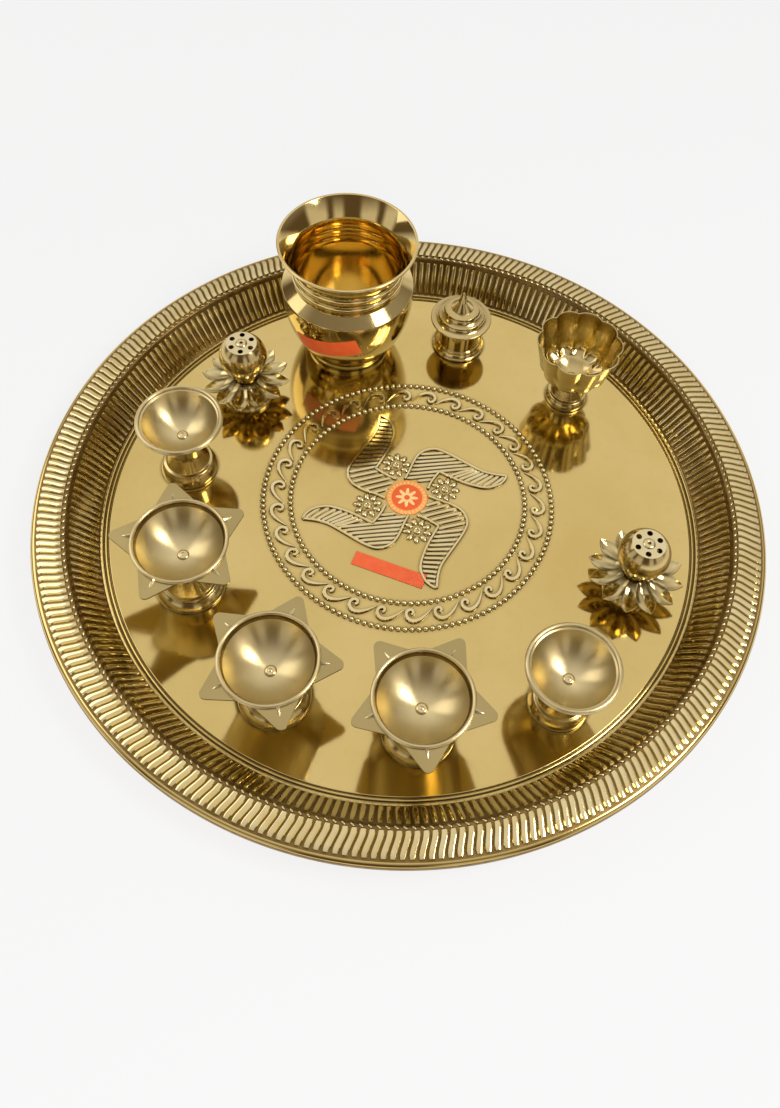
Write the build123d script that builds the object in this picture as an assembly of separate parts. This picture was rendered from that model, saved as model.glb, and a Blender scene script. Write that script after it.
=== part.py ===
"""Puja thali: a pressed brass tray with the worship vessels that stand on it.

Each node of the assembly is written to its own STEP file.
Units are millimetres, +Z is up, and the origin is under the middle of the tray.
"""
import os
from math import atan2, cos, degrees, hypot, radians, sin, sqrt

from build123d import *

os.makedirs("parts", exist_ok=True)

# Tray
tray_r = 178.0             # outside radius of the rolled edge
tray_sheet = 1.2           # thickness of the tray's sheet
band_w = 16.0              # width of the ribbed band, from the crest to the outside
wall_w = 13.0              # how far the ribbed wall leans out between its foot and the crest
floor_step = 0.5           # rise of each fine step round the floor
floor_step_run = 1.8       # width of each fine step
crest_z = 17.8             # height of the crest over the floor
band_fall = 1.0            # drop of the band from the crest to the edge
edge_roll = 2.2            # radius of the rolled edge
edge_lip = 1.6             # length of the lip turned down below the roll
crest_r = tray_r - band_w  # where the wall turns into the ribbed band
wall_foot_r = crest_r - wall_w
floor_r = wall_foot_r - 2 * floor_step_run
floor_clear = 3.0          # least gap between a vessel's foot and the edge of the floor
main_ribs = 36             # every few ribs round the rim are in the solid
wall_rib_r = 0.9           # radius of a round rib on the wall, sunk to its middle
wall_rib_in = (0.9, 1.6)   # how far its ends stay inside the wall's foot and the crest
band_rib_r = 0.95          # the same for the ribs on the band
band_rib_in = (1.7, 1.1)   # how far its ends stay inside the crest and the rolled edge
band_rib_sway = 0.8        # how far its ends lean to either side
medallion_at = (1.8, 7.1)
medallion_rings = (59.6, 73.3)     # radius of each pressed ring on the floor
medallion_ring_r = 0.9     # radius of a ring's round section, sunk to its middle

# Labels
label_t = 0.25             # thickness of the paper
round_label_r = 10.5
round_label_at = (1.2, 7.6)
label_size = (36.8, 7.6)
label_at = (-4.0, -35.1)
label_turn = -15.8         # degrees

# Kalash, the water pot
kalash_at = (-40.8, 108.8)
kalash_sheet = 1.2
kalash_lip_r = 0.7         # rounding of the mouth's edge
kalash_h = 75.0
kalash_mouth_r = 35.8
kalash_neck_r = 28.2
kalash_throat_z = 64.5     # top of the straight neck
kalash_shoulder_z = 49.6   # bottom of the straight neck
kalash_crease_r = 34.4     # sharp edge between shoulder and belly
kalash_crease_z = 45.9
kalash_belly_r = 34.7      # widest part of the belly
kalash_belly_z = 41.0
kalash_foot_r = 22.2
kalash_foot_h = 3.6
kalash_foot_flare = 1.2    # how far the belly starts outside the foot ring
kalash_recess = 2.0        # hollow under the bottom
kalash_foot_wall = 1.8
kalash_bead = 1.0          # height of each ring round the neck
kalash_bead_half = 1.7     # half the length of each ring
kalash_bead_z = (54.0, 59.4)
kalash_label_size = (35.0, 12.2)
kalash_label_z = 29.2      # height of the label's middle
kalash_label_way = -103.6  # degrees, direction that it faces
kalash_label_tilt = 14.0   # degrees

# Kumkum box and its lid
kumkum_at = (21.0, 115.0)
kumkum_base_r = 14.4
kumkum_base_h = 1.4        # straight edge of the base
kumkum_base_curve = (12.8, 2.7)    # a place on the base's hollow curve
kumkum_ring = (12.0, 4.6)  # top of the base, where the column starts
kumkum_column_r = 11.1
kumkum_column_z = 5.1
kumkum_h = 20.6            # height of the box without its lid
kumkum_wall = 1.3
kumkum_floor = 1.6
kumkum_chamfer = 0.5       # at the bottom edge
lid_r = 16.7
lid_flange = 1.2
lid_gap = 0.3              # clearance round the lid's spigot
lid_spigot = 3.2           # how far the spigot reaches into the box
lid_wall = 1.1
lid_edge = 0.4             # how far the flange's round edge bulges
lid_tiers = ((14.0, 1.2), (13.6, 4.4), (11.4, 5.6), (10.9, 7.4), (8.4, 8.4), (8.0, 9.4))
lid_spire_r = 2.4
lid_spire_z = 13.4         # height of the spire's slope change over the box
lid_tip_r = 0.7
lid_tip_z = 19.4           # height of the tip over the box

# Rivets that hold bowls on their feet
rivet_r = 1.5
rivet_head_r = 2.8
rivet_head_h = 1.0
rivet_tail_r = 2.4
rivet_tail_h = 0.8
rivet_tail_taper = 0.4
rivet_gap = 0.05           # radial clearance of a rivet in its hole

# Scalloped cup
cup_at = (82.5, 84.4)
cup_h = 43.4
cup_sheet = 1.0
cup_ball_r = 19.0          # outside radius of the round bottom
cup_ball_z = 34.5          # height of that sphere's centre
cup_lobes = 10
cup_lobe_top = (15.3, 7.2)     # distance of a lobe's axis from the middle, and its radius
cup_lobe_low = (12.4, 6.0)
cup_lobe_low_z = 29.0
cup_core_r = 19.8          # outside radius between the lobes at the rim
cup_core_z = 31.5          # height where the round bottom turns into the fluted wall
cup_turn = 1.0             # degrees
cup_foot_r = 11.4
cup_foot_step = (10.4, 5.2)
cup_foot_waist = (6.6, 10.6)
cup_foot_seat = 7.6

# Plain diyas, the oil lamps with a round rim
plain_left_at = (-111.2, 14.0)
plain_right_at = (78.9, -94.8)
plain_rim_r = 21.0
plain_h = 40.3
plain_mouth_r = 18.0
plain_ledge = 0.9          # width of the step inside the rim
plain_ledge_drop = 1.6     # depth of that step below the rim
plain_depth = 13.6         # from the rim to the bottom of the bowl
plain_lip = 1.5            # depth of the turned-down edge
plain_ledge_rise = 0.2     # slope of the step inside the rim
plain_rim_round = (0.3, 0.6)   # how far in and down the rim's rounding ends
plain_rim_inside = 0.5     # where that rounding starts inside, below the rim
plain_foot_r = 14.1
plain_foot_step = (12.2, 7.2)
plain_foot_waist = (7.6, 15.0)
plain_foot_seat = 8.6

# Star diyas, the oil lamps with a five-pointed flange
star_at = ((-97.0, -52.5), (-48.8, -104.3), (16.7, -114.6))
star_turn = (36.0, 1.2, 62.2)  # degrees, direction of one point
star_points = 5
star_tip_r = 31.8
star_valley_r = 22.7       # edge of the flange between the points
star_point_half = 26.0     # degrees, half the base of a point
star_tip_round = 2.6
star_base_round = 8.0      # hollow rounding at the base of a point
star_h = 41.0              # height of the bead round the bowl
star_bead_out_r = 21.9
star_bead_in_r = 20.1
star_bead_h = 1.3          # how far the bead stands over the flange
star_depth = 14.0
star_bead_under = 1.0      # how far inside the bead the sheet's underside turns
star_crease_r = 0.8        # raised crease that runs out from the bead at each point
star_crease_end_r = 0.2
star_crease_len = 5.0
star_foot_r = 16.6
star_foot_step = (13.4, 6.4)
star_foot_waist = (8.0, 15.0)
star_foot_seat = 9.0

# Sheet of all bowls and feet
bowl_sheet = 0.9
foot_sheet = 1.0
foot_web = 1.2             # thickness under the rivet
foot_edge = 1.5            # straight edge at the bottom of a foot
foot_ledge = (0.9, 0.5)    # step in and up between a foot's base and its stem
foot_bulge = 0.3           # share of a base's run where its curve stands out
foot_neck = 0.2            # share of a stem's run left at its middle height
foot_cup = 0.3             # share of a seat's run reached at its middle height

# Incense stands
incense_at = ((-89.8, 64.2), (113.3, -31.3))
incense_turn = (0.0, 16.0)     # degrees
incense_hole_turn = (35.0, 24.0)
incense_ball_r = 12.2
incense_ball_z = 31.6
incense_disc_r = 7.8       # flat disc on top of the ball
incense_seat_r = 5.2       # flat under the ball
incense_shell = 1.0
incense_holes = 6
incense_hole_r = 1.35
incense_hole_ring = 5.6
incense_rivet_head_r = 3.0
incense_rivet_head_h = 0.6
incense_rivet_bore = 0.8
collar_r = 6.3
collar_waist = 0.5         # how much the collar narrows in the middle
petal_hub_r = 7.6
petal_hub_z = 14.2
petal_hub_t = 1.0
petals = 12
petal_tip_r = 22.8
petal_half = 4.4           # half the width of a petal
petal_half_r = 15.2        # distance of the widest place from the middle
petal_point = (19.8, 3.0)      # a place on the curved side near the tip
petal_root_gap = 0.4       # how far the roots start outside the collar
petal_root_half = 1.9      # half the width of a petal at its root
petal_dip = 1.9            # how far a petal sinks below the hub's top
petal_along = 15.0         # radius of a petal's curve along its length
petal_across = 6.2         # radius of a petal's curve across its width
petal_sheet = 0.8
incense_foot_r = 13.5
incense_foot_step = (10.6, 4.4)
incense_foot_waist = (5.6, 10.4)
incense_foot_seat = 6.8


def loop(start, *moves):
    """Closed face in the radius and height plane: straight moves to a point, arcs through two."""
    edges = []
    here = start
    for move in moves + (start,):
        if isinstance(move[0], tuple):
            edges.append(ThreePointArc(here, move[0], move[1]))
            here = move[1]
        elif hypot(move[0] - here[0], move[1] - here[1]) > 1e-6:
            edges.append(Line(here, move))
            here = move
    return make_face(edges)


def turned(start, *moves, arc=360):
    """Solid of revolution about the vertical axis."""
    return revolve(Plane.XZ * loop(start, *moves), Axis.Z, revolution_arc=arc)


def on_arc(centre_z, radius, reach):
    """Point of the lower half of a sphere on the axis, at a distance from that axis."""
    return (reach, centre_z - sqrt(radius ** 2 - reach ** 2))


def arc_to(centre_z, radius, start, end):
    """Arc move along such a sphere between two distances from the axis."""
    return (on_arc(centre_z, radius, (start + end) / 2), on_arc(centre_z, radius, end))


def stands(at, foot_r):
    """Where a vessel stands: its own place, or nearer the middle to keep its foot on the floor."""
    share = min(1.0, (floor_r - foot_r - floor_clear) / hypot(*at))
    return (at[0] * share, at[1] * share)


def placed(solid, at, turn=0.0):
    """Stand a solid on the tray's floor."""
    return Pos(at[0], at[1], tray_sheet) * (Rot(0, 0, turn) * solid)


def round_rib(start, end, radius):
    """Round bar between two points."""
    run = Vector(*end) - Vector(*start)
    bar = Cylinder(radius, run.length, align=(Align.CENTER, Align.CENTER, Align.MIN))
    return Plane(start, z_dir=run) * bar


def tray():
    """Pressed tray: flat floor with ringed medallion, fine steps, ribbed wall and band, rolled edge."""
    step_in = floor_step_run / 4
    wall_z = 2 * floor_step
    run = crest_r - wall_foot_r
    rise = crest_z - wall_z
    shift = tray_sheet * hypot(run, rise) / rise
    slope = run / rise
    edge_z = crest_z - band_fall
    roll_r = tray_r - edge_roll
    under = edge_roll - tray_sheet
    bend = sqrt(0.5)
    profile = turned(
        (0, 0),
        (floor_r, 0),
        (floor_r + step_in, floor_step),
        (floor_r + floor_step_run, floor_step),
        (floor_r + floor_step_run + step_in, wall_z),
        (wall_foot_r, wall_z),
        (crest_r, crest_z),
        (roll_r, edge_z),
        ((roll_r + edge_roll * bend, edge_z - edge_roll * (1 - bend)), (tray_r, edge_z - edge_roll)),
        (tray_r, edge_z - edge_roll - edge_lip),
        (tray_r - tray_sheet, edge_z - edge_roll - edge_lip),
        (tray_r - tray_sheet, edge_z - edge_roll),
        ((roll_r + under * bend, edge_z - edge_roll + under * bend), (roll_r, edge_z - tray_sheet)),
        (crest_r + shift - slope * tray_sheet, crest_z - tray_sheet),
        (wall_foot_r + shift - slope * (wall_z + tray_sheet), -tray_sheet),
        (0, -tray_sheet),
    )
    wall_in, wall_out = wall_rib_in
    band_in, band_out = band_rib_in
    rib_low = (wall_foot_r + wall_in, 0, wall_z + wall_in / slope)
    rib_top = (crest_r - wall_out, 0, crest_z - wall_out / slope)
    fall = band_fall / (roll_r - crest_r)
    rib_near = (crest_r + band_in, band_rib_sway, crest_z - band_in * fall)
    rib_far = (roll_r - band_out, -band_rib_sway, edge_z + band_out * fall)
    ribs = round_rib(rib_low, rib_top, wall_rib_r) + round_rib(rib_near, rib_far, band_rib_r)
    relief = [Rot(0, 0, 360 * k / main_ribs) * ribs for k in range(main_ribs)]
    relief += [Pos(*medallion_at, 0) * Torus(r, medallion_ring_r) for r in medallion_rings]
    return Pos(0, 0, tray_sheet) * (profile + relief)


def round_label():
    """Round paper label in the middle of the medallion."""
    disc = extrude(Circle(round_label_r), label_t)
    return placed(disc, round_label_at)


def tray_label():
    """Bare rectangular paper label on the floor."""
    slip = extrude(Rectangle(*label_size), label_t)
    return placed(slip, label_at, label_turn)


def kalash_belly():
    """Centre distance and radius of the belly's arc, from its widest place and its foot."""
    low_r = kalash_foot_r + kalash_foot_flare
    low_z = kalash_foot_h + kalash_foot_flare
    gap = kalash_belly_r - low_r
    radius = (gap ** 2 + (kalash_belly_z - low_z) ** 2) / (2 * gap)
    return kalash_belly_r - radius, radius


def belly_point(z, inset=0.0):
    """Point of the belly's arc at a height."""
    centre, radius = kalash_belly()
    return (centre + sqrt((radius - inset) ** 2 - (kalash_belly_z - z) ** 2), z)


def kalash():
    """Spun pot: foot ring, belly, creased shoulder, ringed neck and flared mouth."""
    sheet = kalash_sheet
    foot_top = kalash_foot_h + kalash_foot_flare
    floor_z = kalash_recess + sheet
    run = kalash_crease_r - kalash_neck_r
    rise = kalash_shoulder_z - kalash_crease_z
    drop = sheet * hypot(run, rise) / run
    neck_in = kalash_neck_r - sheet
    shoulder_in = kalash_shoulder_z + sheet * rise / run - drop
    crease_in_z = kalash_crease_z + sheet * rise / run - drop
    lip_x = kalash_mouth_r - kalash_lip_r
    lip_z = kalash_h - kalash_lip_r
    lip_low = (lip_x + kalash_lip_r * cos(radians(40)), lip_z - kalash_lip_r * sin(radians(40)))
    lip_side = (lip_x + kalash_lip_r * cos(radians(25)), lip_z + kalash_lip_r * sin(radians(25)))
    moves = [
        (kalash_foot_r, 0),
        (kalash_foot_r, kalash_foot_h),
        belly_point(foot_top),
        (belly_point((foot_top + kalash_crease_z) / 2), belly_point(kalash_crease_z)),
        (kalash_neck_r, kalash_shoulder_z),
    ]
    for z in kalash_bead_z:
        moves.append((kalash_neck_r, z - kalash_bead_half))
        moves.append(((kalash_neck_r + kalash_bead, z), (kalash_neck_r, z + kalash_bead_half)))
    moves += [
        (kalash_neck_r, kalash_throat_z),
        lip_low,
        (lip_side, (lip_x, kalash_h)),
        (neck_in, kalash_throat_z + sheet * 0.4),
    ]
    for z in reversed(kalash_bead_z):
        moves.append((neck_in, z + kalash_bead_half))
        moves.append(((neck_in + kalash_bead, z), (neck_in, z - kalash_bead_half)))
    moves += [
        (neck_in, shoulder_in),
        belly_point(crease_in_z, sheet),
        (belly_point((crease_in_z + floor_z) / 2, sheet), belly_point(floor_z, sheet)),
        (0, floor_z),
        (0, kalash_recess),
        (kalash_foot_r - kalash_foot_wall, kalash_recess),
        (kalash_foot_r - kalash_foot_wall, 0),
    ]
    return placed(turned(*moves), stands(kalash_at, kalash_foot_r))


def kalash_label():
    """Bare paper label bent round the belly."""
    low = kalash_label_z - kalash_label_size[1]
    high = kalash_label_z + kalash_label_size[1]
    sleeve = turned(
        belly_point(low),
        belly_point(low, -label_t),
        (belly_point(kalash_label_z, -label_t), belly_point(high, -label_t)),
        belly_point(high),
        (belly_point(kalash_label_z), belly_point(low)),
    )
    window = Rot(kalash_label_tilt, 0, 0) * Box(kalash_belly_r, *kalash_label_size)
    slip = sleeve & (Pos(kalash_belly_r, 0, kalash_label_z) * window)
    return placed(slip, stands(kalash_at, kalash_foot_r), kalash_label_way)


def kumkum_box():
    """Small powder box: spread base and a straight open column."""
    inner_r = kumkum_column_r - kumkum_wall
    box = turned(
        (0, 0),
        (kumkum_base_r - kumkum_chamfer, 0),
        (kumkum_base_r, kumkum_chamfer),
        (kumkum_base_r, kumkum_base_h),
        (kumkum_base_curve, kumkum_ring),
        (kumkum_column_r, kumkum_column_z),
        (kumkum_column_r, kumkum_h),
        (inner_r, kumkum_h),
        (inner_r, kumkum_floor),
        (0, kumkum_floor),
    )
    return placed(box, stands(kumkum_at, kumkum_base_r))


def kumkum_lid():
    """Tiered lid with a pointed spire, a flange on the box and a spigot inside it."""
    spigot_r = kumkum_column_r - kumkum_wall - lid_gap
    outside = [(r, kumkum_h + z) for r, z in lid_tiers]
    inside = [(r - lid_wall, kumkum_h + z - lid_wall * 0.6) for r, z in lid_tiers[1:]]
    roof_z = inside[-1][1]
    lid = turned(
        (spigot_r, kumkum_h),
        (lid_r - lid_edge, kumkum_h),
        ((lid_r, kumkum_h + lid_flange / 2), (lid_r - lid_edge, kumkum_h + lid_flange)),
        *outside,
        ((lid_spire_r * 1.7, kumkum_h + lid_spire_z * 0.86), (lid_spire_r, kumkum_h + lid_spire_z)),
        (lid_tip_r, kumkum_h + lid_tip_z - lid_tip_r / 2),
        (lid_tip_r / 2, kumkum_h + lid_tip_z),
        (0, kumkum_h + lid_tip_z),
        (0, roof_z),
        *reversed(inside),
        (spigot_r - lid_wall, kumkum_h),
        (spigot_r - lid_wall, kumkum_h - lid_spigot),
        (spigot_r, kumkum_h - lid_spigot),
    )
    return placed(lid, stands(kumkum_at, kumkum_base_r))


def foot(base_r, step, waist, seat_r, ball_z, ball_r):
    """Spun hollow foot whose top is dished to seat a bowl of that outside sphere."""
    step_r, step_z = step
    waist_r, waist_z = waist
    hole_r = rivet_r + rivet_gap
    seat = on_arc(ball_z, ball_r, seat_r)
    web_z = on_arc(ball_z, ball_r, hole_r)[1] - foot_web
    bulge = (base_r - (base_r - step_r) * foot_bulge, (foot_edge + step_z) / 2)
    ledge_r = step_r - foot_ledge[0]
    ledge_z = step_z + foot_ledge[1]
    return turned(
        (base_r, 0),
        (base_r, foot_edge),
        (bulge, (step_r, step_z)),
        (ledge_r, ledge_z),
        ((waist_r + (step_r - waist_r) * foot_neck, (step_z + waist_z) / 2), (waist_r, waist_z)),
        ((waist_r + (seat_r - waist_r) * foot_cup, (waist_z + seat[1]) / 2), seat),
        arc_to(ball_z, ball_r, seat_r, hole_r),
        (hole_r, web_z),
        (waist_r - foot_sheet, web_z),
        (waist_r - foot_sheet, waist_z - foot_sheet),
        (ledge_r - foot_sheet, ledge_z - foot_sheet),
        (base_r - foot_sheet, foot_edge),
        (base_r - foot_sheet, 0),
    )


def rivet(ball_z, inner_r, outer_r):
    """Round-headed rivet through a bowl's bottom and the web of its foot."""
    head_z = on_arc(ball_z, inner_r, rivet_head_r)[1]
    web_z = on_arc(ball_z, outer_r, rivet_r + rivet_gap)[1] - foot_web
    dome = (rivet_head_r ** 2 + rivet_head_h ** 2) / (2 * rivet_head_h)
    shoulder = sqrt(dome ** 2 - (rivet_head_r / 2) ** 2) - dome + rivet_head_h
    return turned(
        (0, head_z + rivet_head_h),
        ((rivet_head_r / 2, head_z + shoulder), (rivet_head_r, head_z)),
        (rivet_r, head_z),
        (rivet_r, web_z),
        (rivet_tail_r, web_z),
        (rivet_tail_r - rivet_tail_taper, web_z - rivet_tail_h),
        (0, web_z - rivet_tail_h),
    )


def bowl_sphere(mouth_r, mouth_z, bottom_z):
    """Centre height and radius of the sphere inside a bowl of that mouth and bottom."""
    depth = mouth_z - bottom_z
    radius = (mouth_r ** 2 + depth ** 2) / (2 * depth)
    return bottom_z + radius, radius


def plain_sphere():
    """Sphere inside a plain bowl."""
    return bowl_sphere(plain_mouth_r, plain_h - plain_ledge_drop, plain_h - plain_depth)


def plain_bowl():
    """Shallow lamp bowl with a stepped, turned-down rim and a rivet hole."""
    ball_z, radius = plain_sphere()
    sheet = bowl_sheet
    hole_r = rivet_r + rivet_gap
    ledge_z = plain_h - plain_ledge_drop
    wall_r = plain_mouth_r + plain_ledge + sheet
    round_in, round_down = plain_rim_round
    outer_mouth = on_arc(ball_z, radius + sheet, plain_mouth_r)
    return turned(
        on_arc(ball_z, radius, hole_r),
        arc_to(ball_z, radius, hole_r, plain_mouth_r),
        (plain_mouth_r + plain_ledge, ledge_z + plain_ledge_rise),
        (plain_mouth_r + plain_ledge, plain_h - plain_rim_inside),
        ((wall_r, plain_h), (plain_rim_r - round_in, plain_h - round_down)),
        (plain_rim_r, plain_h - round_down - round_in),
        (plain_rim_r, plain_h - plain_lip),
        (wall_r, plain_h - plain_lip),
        (wall_r, ledge_z - sheet),
        outer_mouth,
        arc_to(ball_z, radius + sheet, plain_mouth_r, hole_r),
    )


def star_sphere():
    """Sphere inside a star bowl."""
    return bowl_sphere(star_bead_in_r, star_h - star_bead_h, star_h - star_depth)


def star_bowl():
    """Lamp bowl pressed with a five-pointed flange, a raised bead and a crease at each point."""
    ball_z, radius = star_sphere()
    sheet = bowl_sheet
    hole_r = rivet_r + rivet_gap
    flange_z = star_h - star_bead_h
    bead_r = (star_bead_in_r + star_bead_out_r) / 2
    half = radians(star_point_half)
    tip_angle = atan2(star_valley_r * sin(half), star_tip_r - star_valley_r * cos(half))
    reach = star_tip_r + star_tip_round * (1 / sin(tip_angle) - 1)
    outer = star_bead_in_r - star_bead_under
    pressed = turned(
        on_arc(ball_z, radius, hole_r),
        arc_to(ball_z, radius, hole_r, star_bead_in_r),
        ((bead_r, star_h), (star_bead_out_r, flange_z)),
        (reach, flange_z),
        (reach, flange_z - sheet),
        (star_bead_out_r - sheet / 2, flange_z - sheet),
        on_arc(ball_z, radius + sheet, outer),
        arc_to(ball_z, radius + sheet, outer, hole_r),
    )
    side = (star_valley_r * cos(half), star_valley_r * sin(half))
    far_side = Vector(side[0], -side[1]).rotate(Axis.Z, 360 / star_points)
    valley = Vector(star_valley_r, 0).rotate(Axis.Z, 180 / star_points)
    ray = [
        Line((side[0], -side[1]), (reach, 0)),
        Line((reach, 0), side),
        ThreePointArc(side, valley, far_side),
    ]
    edges = [Rot(0, 0, 360 * k / star_points) * edge for k in range(star_points) for edge in ray]
    outline = make_face(edges)
    outline = fillet(outline.vertices().group_by(lambda v: round(hypot(v.X, v.Y), 3))[-1], star_tip_round)
    outline = fillet(outline.vertices().group_by(lambda v: round(hypot(v.X, v.Y), 3))[0], star_base_round)
    bowl = pressed & extrude(outline, star_h + sheet)
    crease_len = star_bead_out_r - bead_r + star_crease_len
    crease = Cone(star_crease_r, star_crease_end_r, crease_len, align=(Align.CENTER, Align.CENTER, Align.MIN))
    crease = Pos(bead_r, 0, flange_z) * (Rot(0, 90, 0) * crease)
    return bowl + [Rot(0, 0, 360 * k / star_points) * crease for k in range(star_points)]


def cup_body(inset):
    """Round bottom with a ring of lobes that lean outwards, made smaller by an inset."""
    low_r, low_size = cup_lobe_low
    top_r, top_size = cup_lobe_top
    run = top_r - low_r
    rise = cup_h - cup_lobe_low_z
    length = hypot(run, rise)
    lean = degrees(atan2(run, rise))
    spare = 1.3
    growth = (top_size - low_size) * spare
    cone = Cone(low_size - inset, low_size - inset + growth, length * spare,
                align=(Align.CENTER, Align.CENTER, Align.MIN))
    lobe = cone + Sphere(low_size - inset)
    lobe = Pos(low_r, 0, cup_lobe_low_z) * (Rot(0, lean, 0) * lobe)
    ball_r = cup_ball_r - inset
    core_low = sqrt(ball_r ** 2 - (cup_ball_z - cup_core_z) ** 2)
    core_top = core_low + (cup_core_r - inset - core_low) * spare
    body = turned(
        (0, cup_ball_z - ball_r),
        arc_to(cup_ball_z, ball_r, 0, core_low),
        (core_top, cup_core_z + (cup_h - cup_core_z) * spare),
        (0, cup_core_z + (cup_h - cup_core_z) * spare),
    )
    return body + [Rot(0, 0, 360 * k / cup_lobes) * lobe for k in range(cup_lobes)]


def cup_bowl():
    """Deep scalloped bowl of even sheet, cut level at the rim."""
    bowl = cup_body(0.0) - cup_body(cup_sheet)
    box_size = 6 * cup_ball_r
    bowl -= Pos(0, 0, cup_h + box_size / 2) * Box(box_size, box_size, box_size)
    bowl -= Cylinder(rivet_r + rivet_gap, 2 * cup_ball_z)
    return bowl


def incense_foot():
    """Bell-shaped hollow foot with a flat top."""
    base_r = incense_foot_r
    step_r, step_z = incense_foot_step
    waist_r, waist_z = incense_foot_waist
    hole_r = rivet_r + rivet_gap
    web_z = petal_hub_z - foot_web
    ledge_r = step_r - foot_ledge[0]
    ledge_z = step_z + foot_ledge[1]
    return turned(
        (base_r, 0),
        (base_r, foot_edge),
        ((base_r - (base_r - step_r) * foot_bulge, (foot_edge + step_z) / 2), (step_r, step_z)),
        (ledge_r, ledge_z),
        ((waist_r + (step_r - waist_r) * foot_neck, (step_z + waist_z) / 2), (waist_r, waist_z)),
        (incense_foot_seat, web_z),
        (incense_foot_seat, petal_hub_z),
        (hole_r, petal_hub_z),
        (hole_r, web_z),
        (waist_r - foot_sheet, web_z),
        (waist_r - foot_sheet, waist_z - foot_sheet),
        (ledge_r - foot_sheet, ledge_z - foot_sheet),
        (base_r - foot_sheet, foot_edge),
        (base_r - foot_sheet, 0),
    )


def incense_petals():
    """Lotus of cupped, pointed petals on one hub."""
    low_z = petal_hub_z + petal_hub_t - petal_dip
    pivot_z = low_z + petal_along
    centre = low_z + petal_across
    reach = petal_half * 1.15
    top = centre - sqrt(petal_across ** 2 - reach ** 2)
    under = petal_across + petal_sheet
    under_top = centre - sqrt(under ** 2 - reach ** 2)
    section = make_face([
        ThreePointArc((-reach, top), (0, low_z), (reach, top)),
        Line((reach, top), (reach, under_top)),
        ThreePointArc((reach, under_top), (0, low_z - petal_sheet), (-reach, under_top)),
        Line((-reach, under_top), (-reach, top)),
    ])
    section = Pos(petal_half_r, 0, 0) * (Plane.YZ * section)
    pivot = Axis((petal_half_r, 0, pivot_z), (0, 1, 0))
    swing = 80.0
    trough = revolve(section.rotate(pivot, -swing / 2), pivot, revolution_arc=swing)
    root_r = collar_r + petal_root_gap
    root_half = petal_root_half
    point_r, point_half = petal_point
    outline = make_face([
        Line((root_r, -root_half), (root_r, root_half)),
        Line((root_r, root_half), (petal_half_r, petal_half)),
        ThreePointArc((petal_half_r, petal_half), (point_r, point_half), (petal_tip_r, 0)),
        ThreePointArc((petal_tip_r, 0), (point_r, -point_half), (petal_half_r, -petal_half)),
        Line((petal_half_r, -petal_half), (root_r, -root_half)),
    ])
    petal = trough & extrude(outline, pivot_z)
    hub = Pos(0, 0, petal_hub_z) * extrude(Circle(petal_hub_r), petal_hub_t)
    flower = hub + [Rot(0, 0, 360 * k / petals) * petal for k in range(petals)]
    return flower - Cylinder(rivet_r + rivet_gap, 4 * pivot_z)


def ball_flat_z():
    """Height of the flat under the ball."""
    return incense_ball_z - sqrt(incense_ball_r ** 2 - incense_seat_r ** 2)


def ball_top_z():
    """Height of the flat disc on top of the ball."""
    return incense_ball_z + sqrt(incense_ball_r ** 2 - incense_disc_r ** 2)


def incense_collar():
    """Short waisted collar between the petals and the ball."""
    low = petal_hub_z + petal_hub_t
    high = ball_flat_z()
    hole_r = rivet_r + rivet_gap
    return turned(
        (hole_r, low),
        (collar_r, low),
        ((collar_r - collar_waist, (low + high) / 2), (collar_r, high)),
        (hole_r, high),
    )


def incense_ball(hole_turn):
    """Hollow ball with a flat top that is pierced to hold the sticks."""
    inner = incense_ball_r - incense_shell
    low = ball_flat_z()
    high = ball_top_z()
    hole_r = rivet_r + rivet_gap
    inner_low = low + incense_shell
    inner_high = high - incense_shell
    inner_low_r = sqrt(inner ** 2 - (inner_low - incense_ball_z) ** 2)
    inner_high_r = sqrt(inner ** 2 - (inner_high - incense_ball_z) ** 2)
    ball = turned(
        (hole_r, low),
        (incense_seat_r, low),
        ((incense_ball_r, incense_ball_z), (incense_disc_r, high)),
        (hole_r, high),
        (hole_r, inner_high),
        (inner_high_r, inner_high),
        ((inner, incense_ball_z), (inner_low_r, inner_low)),
        (hole_r, inner_low),
    )
    drill = Pos(incense_hole_ring, 0, high) * Cylinder(incense_hole_r, 4 * incense_shell)
    for k in range(incense_holes):
        ball -= Rot(0, 0, hole_turn + 360 * k / incense_holes) * drill
    return ball


def incense_rivet():
    """Long hollow-headed rivet through the whole stand."""
    high = ball_top_z()
    low = petal_hub_z - foot_web
    return turned(
        (0, high - 2 * incense_shell),
        (incense_rivet_bore, high - 2 * incense_shell),
        (incense_rivet_bore, high + incense_rivet_head_h),
        ((incense_rivet_head_r * 0.8, high + incense_rivet_head_h * 0.8), (incense_rivet_head_r, high)),
        (rivet_r, high),
        (rivet_r, low),
        (rivet_tail_r, low),
        (rivet_tail_r - rivet_tail_taper, low - rivet_tail_h),
        (0, low - rivet_tail_h),
    )


nodes = {
    "tray": tray(),
    "tray_round_label": round_label(),
    "tray_label": tray_label(),
    "kalash": kalash(),
    "kalash_label": kalash_label(),
    "kumkum_box": kumkum_box(),
    "kumkum_lid": kumkum_lid(),
}

cup_spot = stands(cup_at, cup_foot_r)
cup_inner_r = cup_ball_r - cup_sheet
cup_base = foot(cup_foot_r, cup_foot_step, cup_foot_waist, cup_foot_seat, cup_ball_z, cup_ball_r)
nodes["cup_bowl"] = placed(cup_bowl(), cup_spot, cup_turn)
nodes["cup_foot"] = placed(cup_base, cup_spot)
nodes["cup_rivet"] = placed(rivet(cup_ball_z, cup_inner_r, cup_ball_r), cup_spot)

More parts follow.
